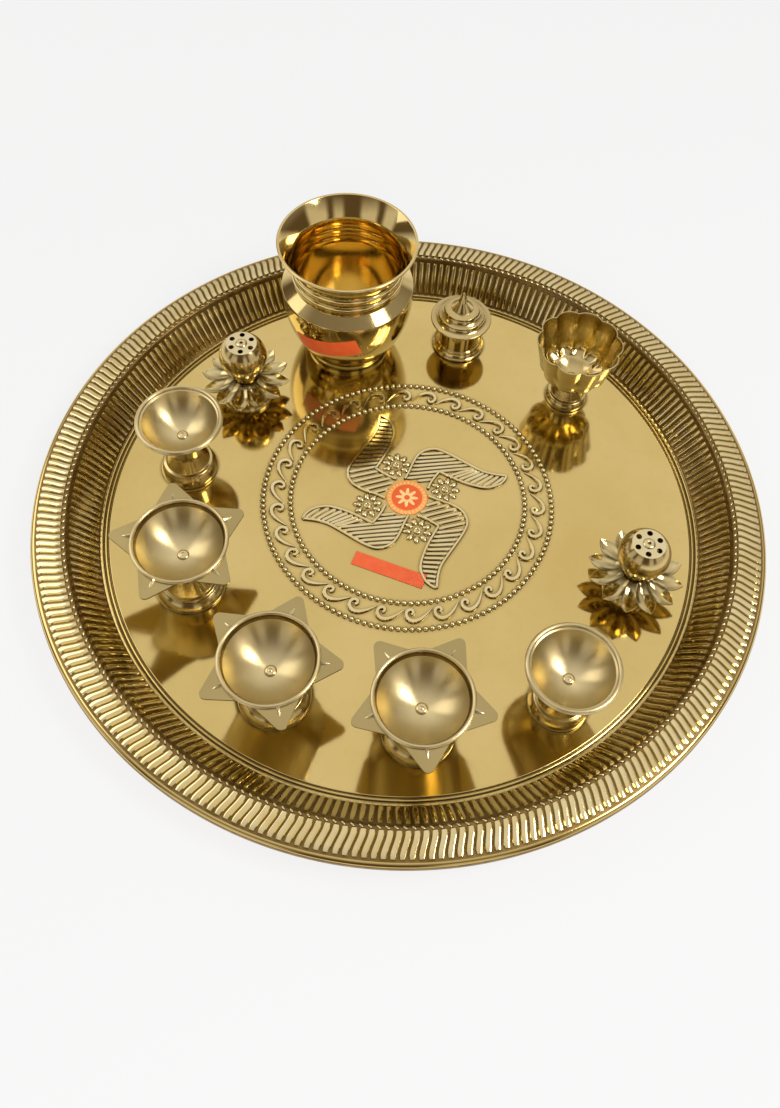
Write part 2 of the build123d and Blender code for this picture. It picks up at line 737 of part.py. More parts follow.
plain_z, plain_r = plain_sphere()
plain_out_r = plain_r + bowl_sheet
plain_top = plain_bowl()
plain_base = foot(plain_foot_r, plain_foot_step, plain_foot_waist, plain_foot_seat, plain_z, plain_out_r)
plain_pin = rivet(plain_z, plain_r, plain_out_r)
for side, at in (("left", plain_left_at), ("right", plain_right_at)):
    at = stands(at, plain_foot_r)
    nodes[f"diya_{side}_bowl"] = placed(plain_top, at)
    nodes[f"diya_{side}_foot"] = placed(plain_base, at)
    nodes[f"diya_{side}_rivet"] = placed(plain_pin, at)

star_z, star_r = star_sphere()
star_out_r = star_r + bowl_sheet
star_top = star_bowl()
star_base = foot(star_foot_r, star_foot_step, star_foot_waist, star_foot_seat, star_z, star_out_r)
star_pin = rivet(star_z, star_r, star_out_r)
for name, at, turn in zip(("a", "b", "c"), star_at, star_turn):
    at = stands(at, star_foot_r)
    nodes[f"star_{name}_bowl"] = placed(star_top, at, turn)
    nodes[f"star_{name}_foot"] = placed(star_base, at)
    nodes[f"star_{name}_rivet"] = placed(star_pin, at)

flower = incense_petals()
for side, at, turn, hole_turn in zip(("left", "right"), incense_at, incense_turn, incense_hole_turn):
    at = stands(at, incense_foot_r)
    nodes[f"incense_{side}_foot"] = placed(incense_foot(), at)
    nodes[f"incense_{side}_petals"] = placed(flower, at, turn)
    nodes[f"incense_{side}_collar"] = placed(incense_collar(), at)
    nodes[f"incense_{side}_ball"] = placed(incense_ball(hole_turn), at)
    nodes[f"incense_{side}_rivet"] = placed(incense_rivet(), at)

for name, solid in nodes.items():
    export_step(solid, f"parts/{name}.step")
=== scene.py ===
"""Puja thali: the looks of a pressed brass tray with the worship vessels that stand on it.

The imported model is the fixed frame. Each sub-assembly is a class that rebuilds its pieces
over that frame, in millimetres, and dresses them in spun, pressed and worn brass.
"""

import logging
from dataclasses import dataclass
from enum import Enum
from math import atan2, cos, hypot, inf, pi, radians, sin, sqrt, tau

import bmesh
import bpy
from mathutils import Matrix, Vector


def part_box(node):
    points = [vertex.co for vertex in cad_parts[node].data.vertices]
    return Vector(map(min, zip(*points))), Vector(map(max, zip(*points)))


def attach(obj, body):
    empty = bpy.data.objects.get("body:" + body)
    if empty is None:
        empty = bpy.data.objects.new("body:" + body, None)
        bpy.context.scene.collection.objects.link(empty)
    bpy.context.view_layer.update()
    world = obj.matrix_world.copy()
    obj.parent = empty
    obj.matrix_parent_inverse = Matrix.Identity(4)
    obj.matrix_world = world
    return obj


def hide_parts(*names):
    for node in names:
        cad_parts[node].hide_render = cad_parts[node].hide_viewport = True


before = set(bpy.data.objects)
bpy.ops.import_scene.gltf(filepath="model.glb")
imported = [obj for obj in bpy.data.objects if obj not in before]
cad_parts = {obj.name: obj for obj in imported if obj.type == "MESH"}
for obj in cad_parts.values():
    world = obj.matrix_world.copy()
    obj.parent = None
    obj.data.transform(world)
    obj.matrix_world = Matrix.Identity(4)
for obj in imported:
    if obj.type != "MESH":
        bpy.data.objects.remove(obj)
log = logging.getLogger("thali")

MM = 0.001
MICRON = 1e-6
FLOOR_TOP = 1.2  # height of the tray's floor, its sheet being this thick
SMOOTH_TO = 38.0  # angle in degrees under which two faces are shaded as one
SAME_SPOT = 1e-4  # distance in millimetres under which two points are one

Point = tuple[float, float]
Points = tuple[Point, ...]
Triple = tuple[float, float, float]
Colour = tuple[float, float, float, float]
Path = list[Vector]
Mesh = bmesh.types.BMesh
Material = bpy.types.Material
Socket = bpy.types.NodeSocket
Tree = bpy.types.NodeTree


class Slot(Enum):
    """Material slots of the record."""

    TRAY = "tray_brass"
    VESSEL = "vessel_brass"
    STAR = "star_brass"
    PETAL = "petal_brass"
    RIVET = "rivet_brass"
    LABEL = "paper_label"
    ROUND = "round_label"


class NodeSheet:
    """Adds and joins nodes in one node tree."""

    def __init__(self, tree: Tree) -> None:
        """Start with an empty tree."""
        self.tree = tree
        tree.nodes.clear()

    def add(self, kind: str, **settings: object) -> bpy.types.Node:
        """Add a node.

        Args:
            kind: Blender's name of the node type.
            settings: properties to set on the node.

        Returns:
            The new node.
        """
        node = self.tree.nodes.new(kind)
        for key, value in settings.items():
            setattr(node, key, value)
        return node

    def feed(self, socket: Socket, value: object) -> None:
        """Join an output to a socket, or set the socket's own value."""
        if isinstance(value, Socket):
            self.tree.links.new(value, socket)
        else:
            socket.default_value = value

    def fill(self, node: bpy.types.Node, values: dict[str, object]) -> None:
        """Join outputs to the named inputs of a node, or set their own values."""
        for label, value in values.items():
            self.feed(node.inputs[label], value)

    def math(self, operation: str, first: object, second: object = 0.0) -> Socket:
        """Add a sum of one or two values.

        Args:
            operation: Blender's name of the sum.
            first: a number or an output.
            second: a number or an output.

        Returns:
            The output with the result.
        """
        node = self.add("ShaderNodeMath", operation=operation)
        self.feed(node.inputs[0], first)
        self.feed(node.inputs[1], second)
        return node.outputs[0]

    def spread(self, value: object, low: float, high: float, to_low: float, to_high: float) -> Socket:
        """Map a value from one span to another.

        Args:
            value: the output to map.
            low: start of the span it comes from.
            high: end of that span.
            to_low: start of the new span.
            to_high: end of the new span.

        Returns:
            The output with the mapped value.
        """
        node = self.add("ShaderNodeMapRange", clamp=True)
        for socket, entry in zip(node.inputs, (value, low, high, to_low, to_high)):
            self.feed(socket, entry)
        return node.outputs[0]

    def blend(self, share: object, first: object, second: object) -> Socket:
        """Mix two colours.

        Args:
            share: how much of the second colour shows.
            first: a colour or an output.
            second: a colour or an output.

        Returns:
            The output with the mixed colour.
        """
        node = self.add("ShaderNodeMix", data_type="RGBA")
        self.feed(node.inputs[0], share)
        self.feed(node.inputs[6], first)
        self.feed(node.inputs[7], second)
        return node.outputs[2]

    def noise(self, place: object, scale: object, detail: float) -> Socket:
        """Add a noise pattern.

        Args:
            place: the output with the coordinates.
            scale: how fine the pattern is.
            detail: how many finer layers it has.

        Returns:
            The output with the pattern's value.
        """
        node = self.add("ShaderNodeTexNoise")
        self.fill(node, {"Vector": place, "Scale": scale, "Detail": detail})
        return node.outputs[0]

    def bump(self, height: object, depth: float, below: Socket | None = None) -> Socket:
        """Raise a surface by a pattern.

        Args:
            height: the output with the pattern.
            depth: depth of the relief in micrometres.
            below: the output with the relief that this one lies on.

        Returns:
            The output with the direction that the surface faces.
        """
        node = self.add("ShaderNodeBump")
        node.inputs["Distance"].default_value = depth * MICRON
        self.feed(node.inputs["Height"], height)
        if below is not None:
            self.feed(node.inputs["Normal"], below)
        return node.outputs[0]

    def around(self, place: object) -> tuple[Socket, ...]:
        """Measure a place from the upright axis.

        Args:
            place: the output with the coordinates.

        Returns:
            The outputs with the distance from the axis, the angle round it and the height.
        """
        parts = self.add("ShaderNodeSeparateXYZ")
        self.feed(parts.inputs[0], place)
        x, y, z = parts.outputs
        square = self.math("ADD", self.math("POWER", x, 2.0), self.math("POWER", y, 2.0))
        return self.math("SQRT", square), self.math("ARCTAN2", y, x), z

    def use(self, group: Tree, **values: object) -> bpy.types.Node:
        """Place a node group.

        Args:
            group: the group to place.
            values: a number, colour or output for each named input.

        Returns:
            The group node.
        """
        node = self.add("ShaderNodeGroup", node_tree=group)
        self.fill(node, values)
        return node

    def in_gloss(self, share: float, colour: object, other: Colour) -> Socket:
        """Mix a share of another colour into a colour where a glossy piece mirrors it, as a painted
        reflection.
        """
        glossy = self.add("ShaderNodeLightPath").outputs["Is Glossy Ray"]
        return self.blend(self.math("MULTIPLY", glossy, share), colour, other)


def new_group(name: str, inputs: dict[str, str], outputs: dict[str, str]) -> tuple:
    """Start a shader node group with named sockets.

    Args:
        name: name of the group.
        inputs: socket names with their types.
        outputs: socket names with their types.

    Returns:
        The group, its sheet, its input node and its output node.
    """
    tree = bpy.data.node_groups.new(name, "ShaderNodeTree")
    for label, kind in inputs.items():
        tree.interface.new_socket(label, in_out="INPUT", socket_type=kind)
    for label, kind in outputs.items():
        tree.interface.new_socket(label, in_out="OUTPUT", socket_type=kind)
    sheet = NodeSheet(tree)
    return tree, sheet, sheet.add("NodeGroupInput"), sheet.add("NodeGroupOutput")


def brass_tone_group() -> Tree:
    """Build the group for brass that is lighter and darker in clouds, with handling marks."""
    tree, sheet, source, sink = new_group(
        "Brass tone",
        {"Place": "NodeSocketVector", "Light": "NodeSocketColor", "Deep": "NodeSocketColor",
         "Cloud": "NodeSocketFloat", "Smooth": "NodeSocketFloat", "Worn": "NodeSocketFloat"},
        {"Color": "NodeSocketColor", "Roughness": "NodeSocketFloat", "Height": "NodeSocketFloat"},
    )
    place = source.outputs["Place"]
    clouds = sheet.noise(place, source.outputs["Cloud"], 5.0)
    specks = sheet.noise(place, sheet.math("MULTIPLY", source.outputs["Cloud"], 14.0), 4.0)
    share = sheet.spread(clouds, 0.35, 0.68, 0.0, 0.8)
    share = sheet.math("ADD", share, sheet.spread(specks, 0.55, 0.8, 0.0, 0.25))
    sheet.feed(sink.inputs["Color"], sheet.blend(share, source.outputs["Light"], source.outputs["Deep"]))
    marks = sheet.spread(specks, 0.4, 0.75, 0.0, 1.0)
    marks = sheet.math("ADD", sheet.math("MULTIPLY", marks, 0.5), sheet.math("MULTIPLY", clouds, 0.5))
    extra = sheet.math("MULTIPLY", marks, source.outputs["Worn"])
    sheet.feed(sink.inputs["Roughness"], sheet.math("ADD", source.outputs["Smooth"], extra))
    sheet.feed(sink.inputs["Height"], clouds)
    return tree


def spun_lines_group() -> Tree:
    """Build the group for the fine rings that the spinning tool leaves round the axis."""
    tree, sheet, source, sink = new_group(
        "Spun lines",
        {"Place": "NodeSocketVector", "Density": "NodeSocketFloat"},
        {"Height": "NodeSocketFloat"},
    )
    radius, _, height = sheet.around(source.outputs["Place"])
    across = sheet.add("ShaderNodeCombineXYZ")
    sheet.feed(across.inputs[0], radius)
    sheet.feed(across.inputs[1], height)
    sheet.feed(sink.inputs["Height"], sheet.noise(across.outputs[0], source.outputs["Density"], 3.0))
    return tree


def scratches_group() -> Tree:
    """Build the group for long fine scratches across a satin sheet."""
    tree, sheet, source, sink = new_group(
        "Fine scratches",
        {"Place": "NodeSocketVector", "Density": "NodeSocketFloat"},
        {"Mask": "NodeSocketFloat"},
    )
    total: object = 0.0
    for turn, stretch in ((0.35, 0.05), (1.9, 0.04)):
        mapping = sheet.add("ShaderNodeMapping")
        sheet.fill(mapping, {"Vector": source.outputs["Place"], "Rotation": (0.0, 0.0, turn),
                             "Scale": (stretch, 1.0, 1.0)})
        lines = sheet.noise(mapping.outputs[0], source.outputs["Density"], 2.0)
        total = sheet.math("ADD", total, sheet.spread(lines, 0.62, 0.72, 0.0, 0.5))
    sheet.feed(sink.inputs["Mask"], total)
    return tree


class Groups:
    """The shared node groups, each built once."""

    def __init__(self) -> None:
        """Build every group."""
        self.tone = brass_tone_group()
        self.lines = spun_lines_group()
        self.scratches = scratches_group()

    def brass(self, *kinds: str) -> list[Material]:
        """Give a new material for each of the named brass finishes."""
        return [BRASS[kind].material(self) for kind in kinds]


def start_material(name: str) -> tuple[Material, NodeSheet, bpy.types.Node, Socket]:
    """Start a material with one shader.

    Args:
        name: name of the material.

    Returns:
        The material, its sheet, its shader and the output with the piece's own coordinates.
    """
    made = bpy.data.materials.new(name)
    made.use_nodes = True
    sheet = NodeSheet(made.node_tree)
    sink = sheet.add("ShaderNodeOutputMaterial")
    shader = sheet.add("ShaderNodeBsdfPrincipled")
    sheet.feed(sink.inputs["Surface"], shader.outputs[0])
    own = sheet.add("ShaderNodeAttribute", attribute_name="own").outputs["Vector"]
    return made, sheet, shader, own


@dataclass(frozen=True)
class BrassFinish:
    """One brass finish, from its two tones to the relief of its surface."""

    name: str
    light: Colour
    deep: Colour
    cloud: float = 0.05  # tone clouds per millimetre
    smooth: float = 0.12  # roughness where it is cleanest
    worn: float = 0.10  # roughness that wear adds
    lines: float = 0.0  # depth of the spun lines, micrometres
    line_density: float = 1.6
    dents: float = 0.0  # depth of soft waves in the sheet, micrometres
    scratches: float = 0.0  # roughness that scratches add
    scratch_density: float = 1.1
    brushed: float = 0.0  # how far the gloss is drawn out across the rings
    brush_turn: float = 0.25  # share of a turn from the rings to that way
    corner: float = 0.0  # how far the painted shade reaches out of a corner, millimetres
    nook: Point = (0.42, 0.92)  # openness of a corner between which the painted shade fades
    # colour of the painted shade in corners and at the roots of leaves
    painted_shade: Colour = (0.10, 0.06, 0.015, 1)
    mirrored: Colour = (0.53, 0.45, 0.20, 1)  # painted reflection: tone that it has in another piece's gloss
    mirrored_share: float = 0.75  # how far it takes on that tone
    root: Point = (0.0, 0.0)  # distances from the axis between which the painted shade at a leaf's root fades
    root_shade_share: float = 0.9  # share of painted shade at the root
    leaves: int = 12  # leaves round the axis that have such a shaded root
    vein_shade_share: float = 0.62  # share of painted shade on a leaf's middle vein
    vein_run: float = 7.0  # how far past the root the vein has faded, millimetres
    gap_shade_share: float = 0.85  # share of painted shade between two leaves
    gap_run: Point = (2.0, 6.0)  # how far past the root that fades, millimetres

    def painted_root_shade(self, sheet: NodeSheet, own: Socket) -> Socket:
        """Work out the painted shade at the root of each leaf, on its middle vein and in the gap beside it.

        Args:
            sheet: the material's sheet.
            own: the output with the piece's own coordinates.

        Returns:
            The output with the share of painted shade.
        """
        radius, angle, _ = sheet.around(own)
        beat = sheet.math("COSINE", sheet.math("MULTIPLY", angle, float(self.leaves)))
        start, end = self.root
        fade, faded = (end + run for run in self.gap_run)
        vein = sheet.math("MULTIPLY", sheet.spread(beat, 0.1, 0.95, 0.0, self.vein_shade_share),
                          sheet.spread(radius, end, end + self.vein_run, 1.0, 0.0))
        gap = sheet.math("MULTIPLY", sheet.spread(beat, -1.0, -0.5, self.gap_shade_share, 0.0),
                         sheet.spread(radius, fade, faded, 1.0, 0.0))
        root = sheet.spread(radius, start, end, self.root_shade_share, 0.0)
        return sheet.math("MAXIMUM", root, sheet.math("MAXIMUM", vein, gap))

    def material(self, groups: Groups) -> Material:
        """Build the material.

        Args:
            groups: the shared node groups.

        Returns:
            The new material.
        """
        made, sheet, shader, own = start_material(self.name)
        tone = sheet.use(groups.tone, Place=own, Light=self.light, Deep=self.deep,
                         Cloud=self.cloud, Smooth=self.smooth, Worn=self.worn)
        roughness = tone.outputs["Roughness"]
        if self.scratches:
            marks = sheet.use(groups.scratches, Place=own, Density=self.scratch_density)
            added = sheet.math("MULTIPLY", marks.outputs["Mask"], self.scratches)
            roughness = sheet.math("ADD", roughness, added)
        colour = tone.outputs["Color"]
        # painted shade: darkens the colour where ambient occlusion finds other surfaces close by
        if self.corner:
            nook = sheet.add("ShaderNodeAmbientOcclusion", samples=6)
            nook.inputs["Distance"].default_value = self.corner * MM
            unshaded = sheet.spread(nook.outputs["AO"], *self.nook, 0.0, 1.0)
            colour = sheet.blend(unshaded, self.painted_shade, colour)
        # painted shade at the roots of the leaves, on their veins and between them
        if self.root[1]:
            colour = sheet.blend(self.painted_root_shade(sheet, own), colour, self.painted_shade)
        colour = sheet.in_gloss(self.mirrored_share, colour, self.mirrored)
        sheet.fill(shader, {"Base Color": colour, "Roughness": roughness, "Metallic": 1.0,
                            "Anisotropic": self.brushed, "Anisotropic Rotation": self.brush_turn})
        normal = None
        if self.dents:
            normal = sheet.bump(tone.outputs["Height"], self.dents)
        if self.lines:
            rings = sheet.use(groups.lines, Place=own, Density=self.line_density)
            normal = sheet.bump(rings.outputs["Height"], self.lines, normal)
        if normal is not None:
            sheet.feed(shader.inputs["Normal"], normal)
        if self.brushed:
            along = sheet.add("ShaderNodeTangent", direction_type="UV_MAP", uv_map="turn")
            sheet.feed(shader.inputs["Tangent"], along.outputs[0])
        return made


@dataclass(frozen=True)
class PaperFinish:
    """Glossy label paper with faint fibres and rubbed places."""

    name: str
    face: Colour
    rubbed: Colour
    mirrored: Colour = (0.30, 0.17, 0.06, 1)  # painted reflection: tone that it has in the gloss of the brass
    mirrored_share: float = 0.8
    cloud: float = 0.22  # rubbed places per millimetre
    fibre: float = 5.0  # fibres per millimetre
    gloss: Point = (0.38, 0.6)  # roughness between which the fibres vary
    relief: float = 12.0  # height of the fibres, micrometres

    def material(self) -> Material:
        """Build the material."""
        made, sheet, shader, own = start_material(self.name)
        cloud = sheet.noise(own, self.cloud, 3.0)
        fibre = sheet.noise(own, self.fibre, 4.0)
        share = sheet.math("ADD", sheet.spread(cloud, 0.35, 0.7, 0.0, 0.6),
                           sheet.spread(fibre, 0.4, 0.7, 0.0, 0.25))
        colour = sheet.blend(share, self.face, self.rubbed)
        colour = sheet.in_gloss(self.mirrored_share, colour, self.mirrored)
        roughness = sheet.spread(fibre, 0.3, 0.7, *self.gloss)
        normal = sheet.bump(fibre, self.relief)
        sheet.fill(shader, {"Base Color": colour, "Roughness": roughness, "Normal": normal})
        return made


@dataclass(frozen=True)
class FlowerFinish:
    """Round label printed with a plain ring of dots and a flower."""

    name: str
    ground: Colour
    print_colour: Colour
    edge: Colour
    radius: float
    petals: int = 8
    dots: int = 28
    reach: Point = (0.40, 0.15)  # middle and swing of the petals' reach, as shares of the label's radius
    heart: float = 0.14  # radius of the bare heart, which is such a share like the next two
    dot_ring: float = 0.86
    band: Point = (0.73, 0.76)
    blur: float = 0.12  # how far the print's edges fade, millimetres
    fibre: float = 4.0  # fibres per millimetre
    gloss: Point = (0.32, 0.5)  # roughness between which the fibres vary

    def material(self) -> Material:
        """Build the material."""
        made, sheet, shader, own = start_material(self.name)
        radius, angle, _ = sheet.around(own)
        wave = sheet.math("COSINE", sheet.math("MULTIPLY", angle, float(self.petals)))
        middle, swing = (self.radius * share for share in self.reach)
        reach = sheet.math("ADD", sheet.math("MULTIPLY", wave, swing), middle)
        inside = sheet.math("SUBTRACT", reach, radius)
        petal = sheet.spread(inside, -self.blur, self.blur, 0.0, 1.0)
        outside = sheet.math("SUBTRACT", radius, self.radius * self.heart)
        heart = sheet.spread(outside, -self.blur, self.blur, 0.0, 1.0)
        flower = sheet.math("MULTIPLY", petal, heart)
        beat = sheet.math("COSINE", sheet.math("MULTIPLY", angle, float(self.dots)))
        offset = sheet.math("ABSOLUTE", sheet.math("SUBTRACT", radius, self.radius * self.dot_ring))
        dot = sheet.math("MULTIPLY", sheet.spread(beat, -0.1, 0.5, 0.0, 1.0),
                         sheet.spread(offset, 0.35, 0.75, 1.0, 0.0))
        start, end = (self.radius * share for share in self.band)
        band = sheet.spread(radius, start, end, 0.0, 1.0)
        fibre = sheet.noise(own, self.fibre, 4.0)
        ground = sheet.blend(band, self.ground, self.edge)
        shade = sheet.blend(sheet.spread(fibre, 0.4, 0.75, 0.0, 0.2), ground, self.edge)
        marks = sheet.math("MAXIMUM", flower, sheet.math("MULTIPLY", dot, 0.75))
        colour = sheet.blend(marks, shade, self.print_colour)
        roughness = sheet.spread(fibre, 0.3, 0.7, *self.gloss)
        sheet.fill(shader, {"Base Color": colour, "Roughness": roughness})
        return made


BRASS = {
    "floor": BrassFinish("satin tray brass", (0.83, 0.61, 0.235, 1), (0.74, 0.52, 0.17, 1), cloud=0.016,
                         smooth=0.07, worn=0.05, lines=2.0, line_density=0.9, dents=18.0, scratches=0.05,
                         corner=2.0),
    "rib": BrassFinish("pressed rib brass", (0.94, 0.77, 0.42, 1), (0.84, 0.63, 0.28, 1), cloud=0.08,
                       smooth=0.06, worn=0.07, corner=1.1),
    # tarnish and painted shade: dark brass for the tray's grooves, under its rolled edge and inside a star
    # lamp's bead
    "recess": BrassFinish("groove brass with tarnish and painted shade", (0.30, 0.19, 0.06, 1), (0.18, 0.10, 0.03, 1), cloud=0.2,
                          smooth=0.26, worn=0.20, corner=1.2),
    "polished": BrassFinish("polished vessel brass", (0.90, 0.69, 0.31, 1), (0.82, 0.58, 0.22, 1),
                            cloud=0.05, smooth=0.06, worn=0.07, lines=2.0, line_density=1.4, dents=8.0,
                            corner=0.8),
    "turned": BrassFinish("turned foot brass", (0.74, 0.56, 0.25, 1), (0.62, 0.44, 0.17, 1), cloud=0.06,
                          smooth=0.14, worn=0.07, lines=3.0, line_density=2.0, brushed=0.6, corner=0.9),
    # its painted reflection tone is bright gold, so the pot's inside shows golden in its own gloss
    "well": BrassFinish("golden inside of a pot", (0.90, 0.69, 0.29, 1), (0.84, 0.60, 0.21, 1), cloud=0.05,
                        smooth=0.08, worn=0.08, lines=3.0, line_density=1.2, mirrored=(0.84, 0.64, 0.25, 1)),
    "bowl": BrassFinish("brushed bowl brass", (0.85, 0.68, 0.36, 1), (0.77, 0.58, 0.26, 1), cloud=0.06,
                        smooth=0.285, worn=0.05, lines=3.0, line_density=1.8, brushed=0.8),
    "flange": BrassFinish("matt flange brass", (0.53, 0.40, 0.17, 1), (0.47, 0.35, 0.14, 1), cloud=0.03,
                          smooth=0.28, worn=0.03),
    "pale": BrassFinish("pale stamped brass", (0.93, 0.78, 0.45, 1), (0.82, 0.63, 0.30, 1), cloud=0.10,
                        smooth=0.18, worn=0.08),
    # the petals get painted shade at their roots, on their veins and in their gaps
    "petal": BrassFinish("pale petal brass", (0.86, 0.68, 0.33, 1), (0.78, 0.58, 0.25, 1), cloud=0.03,
                         smooth=0.10, worn=0.05, root=(7.4, 12.6)),
    "rivet": BrassFinish("rivet brass", (0.90, 0.74, 0.42, 1), (0.78, 0.58, 0.27, 1), cloud=0.3,
                         smooth=0.12, worn=0.10, corner=0.7),
}

LABEL_PAPER = PaperFinish("orange label paper", (0.85, 0.105, 0.020, 1), (0.90, 0.16, 0.04, 1))


class Outline:
    """Half outline of a turned piece, as radius and height."""

    def __init__(self, start: Point) -> None:
        """Start at a point."""
        self.points: Path = [Vector(start)]

    def to(self, *points: Point) -> "Outline":
        """Go straight to each point in turn."""
        self.points += [Vector(point) for point in points]
        return self

    def arc(self, middle: Point, end: Point, steps: int) -> "Outline":
        """Go along the arc through two points.

        Args:
            middle: a point on the way.
            end: the last point.
            steps: how many straight runs stand for the arc.

        Returns:
            This outline.
        """
        first, second, last = self.points[-1], Vector(middle), Vector(end)
        one, two = second - first, last - first
        cross = 2.0 * (one.x * two.y - one.y * two.x)
        shift = Vector((two.y * one.length_squared - one.y * two.length_squared,
                        one.x * two.length_squared - two.x * one.length_squared)) / cross
        centre = first + shift
        begin, finish = first - centre, last - centre
        sweep = begin.angle_signed(finish)
        part = begin.angle_signed(second - centre)
        if part * sweep < 0 or abs(part) > abs(sweep):
            sweep += -tau if sweep > 0 else tau
        for step in range(1, steps + 1):
            turn = Matrix.Rotation(-sweep * step / steps, 2)
            self.points.append(centre + turn @ begin)
        return self

    def close(self) -> "Outline":
        """Go straight back to the start."""
        return self.to(tuple(self.points[0]))


def on_ball(centre_z: float, radius: float, reach: float) -> Point:
    """Give the point on the lower half of a ball on the axis, at a distance from the axis."""
    return (reach, centre_z - sqrt(radius ** 2 - reach ** 2))


def beside(spot: Point, offsets: Points) -> list[Point]:
    """Give points of an outline by their offsets from a spot."""
    return [(spot[0] + out, spot[1] + up) for out, up in offsets]


def ball_arc(outline: Outline, centre_z: float, radius: float, start: float, end: float,
             steps: int) -> None:
    """Take an outline along such a ball from one distance from the axis to another."""
    outline.arc(on_ball(centre_z, radius, (start + end) / 2), on_ball(centre_z, radius, end), steps)


def soften(work: Mesh, edge: float, sharp: float = 28.0) -> None:
    """Round off the sharp edges of a mesh.

    Args:
        work: the mesh.
        edge: width of the rounding.
        sharp: angle in degrees from which an edge counts as sharp.
    """
    picked = [e for e in work.edges if e.is_manifold and e.calc_face_angle(0.0) > radians(sharp)]
    if edge and picked:
        bmesh.ops.bevel(work, geom=picked, offset=edge, offset_type="OFFSET", segments=2, profile=0.5,
                        affect="EDGES", material=-1, clamp_overlap=True)


def spun(outline: Outline, steps: int, edge: float) -> Mesh:
    """Spin an outline about the vertical axis.

    Args:
        outline: the half outline.
        steps: how many steps the turn has.
        edge: width of the rounding on sharp edges.

    Returns:
        The new mesh.
    """
    work = bmesh.new()
    verts = [work.verts.new((point.x, 0.0, point.y)) for point in outline.points]
    edges = [work.edges.new(pair) for pair in zip(verts, verts[1:])]
    bmesh.ops.spin(work, geom=verts + edges, cent=(0, 0, 0), axis=(0, 0, 1), dvec=(0, 0, 0), angle=tau,
                   steps=steps, use_merge=True)
    bmesh.ops.remove_doubles(work, verts=work.verts[:], dist=SAME_SPOT)
    bmesh.ops.recalc_face_normals(work, faces=work.faces[:])
    soften(work, edge)
    return work


def ring_of(work: Mesh, count: int) -> None:
    """Copy all of a mesh round the upright axis.

    Args:
        work: the mesh.
        count: how many there are in the whole turn.
    """
    shapes = work.verts[:] + work.edges[:] + work.faces[:]
    bmesh.ops.spin(work, geom=shapes, cent=(0, 0, 0), axis=(0, 0, 1), dvec=(0, 0, 0),
                   angle=tau * (count - 1) / count, steps=count - 1, use_duplicate=True)


def shaped_ball(halves: Triple, at: Triple, turn: float = 0.0, sides: int = 8, rows: int = 6) -> Mesh:
    """Make a ball that is longer one way than another.

    Args:
        halves: half its three sizes.
        at: where its middle lies.
        turn: how far it is turned about its upright axis, in degrees.
        sides: how many faces go round it.
        rows: how many faces lie from pole to pole.

    Returns:
        The new mesh.
    """
    work = bmesh.new()
    place = Matrix.LocRotScale(Vector(at), Matrix.Rotation(radians(turn), 3, "Z"), Vector(halves))
    bmesh.ops.create_uvsphere(work, u_segments=sides, v_segments=rows, radius=1.0, matrix=place)
    return work


def join(work: Mesh, other: Mesh) -> None:
    """Add a second mesh, which is used up, to a first one."""
    mesh = bpy.data.meshes.new("joined")
    other.to_mesh(mesh)
    other.free()
    work.from_mesh(mesh)
    bpy.data.meshes.remove(mesh)


def thicken(work: Mesh, front: Vector, thick: float) -> None:
    """Turn the faces of an open sheet to its front and give it thickness.

    Args:
        work: the mesh.
        front: the direction that the faces are turned to.
        thick: how thick the sheet gets, less than nought if it grows to the front.
    """
    bmesh.ops.recalc_face_normals(work, faces=work.faces[:])
    if sum(face.normal.dot(front) for face in work.faces) < 0:
        bmesh.ops.reverse_faces(work, faces=work.faces[:])
    bmesh.ops.solidify(work, geom=work.faces[:], thickness=thick)


def push_out(vert: bmesh.types.BMVert, reach: float) -> None:
    """Move a vertex straight out from the axis, or in, to a distance from it."""
    vert.co.xy *= reach / vert.co.xy.length


def from_nearest(angle: float, count: int) -> float:
    """Give the angle from a direction to the nearest of equal points round the axis."""
    pitch = tau / count
    return abs((angle + pitch / 2) % pitch - pitch / 2)


def smooth_path(points: Path, runs: int) -> Path:
    """Draw a smooth line through points.

    Args:
        points: the points in order.
        runs: how many straight runs lie between two points.

    Returns:
        The points of the line.
    """
    ends = [points[0] * 2 - points[1]] + points + [points[-1] * 2 - points[-2]]
    line = []
    for before, start, end, after in zip(ends, ends[1:], ends[2:], ends[3:]):
        for step in range(runs):
            t = step / runs
            line.append(0.5 * (2 * start + (end - before) * t
                               + (2 * before - 5 * start + 4 * end - after) * t ** 2
                               + (3 * start - before - 3 * end + after) * t ** 3))
    return line + [points[-1]]


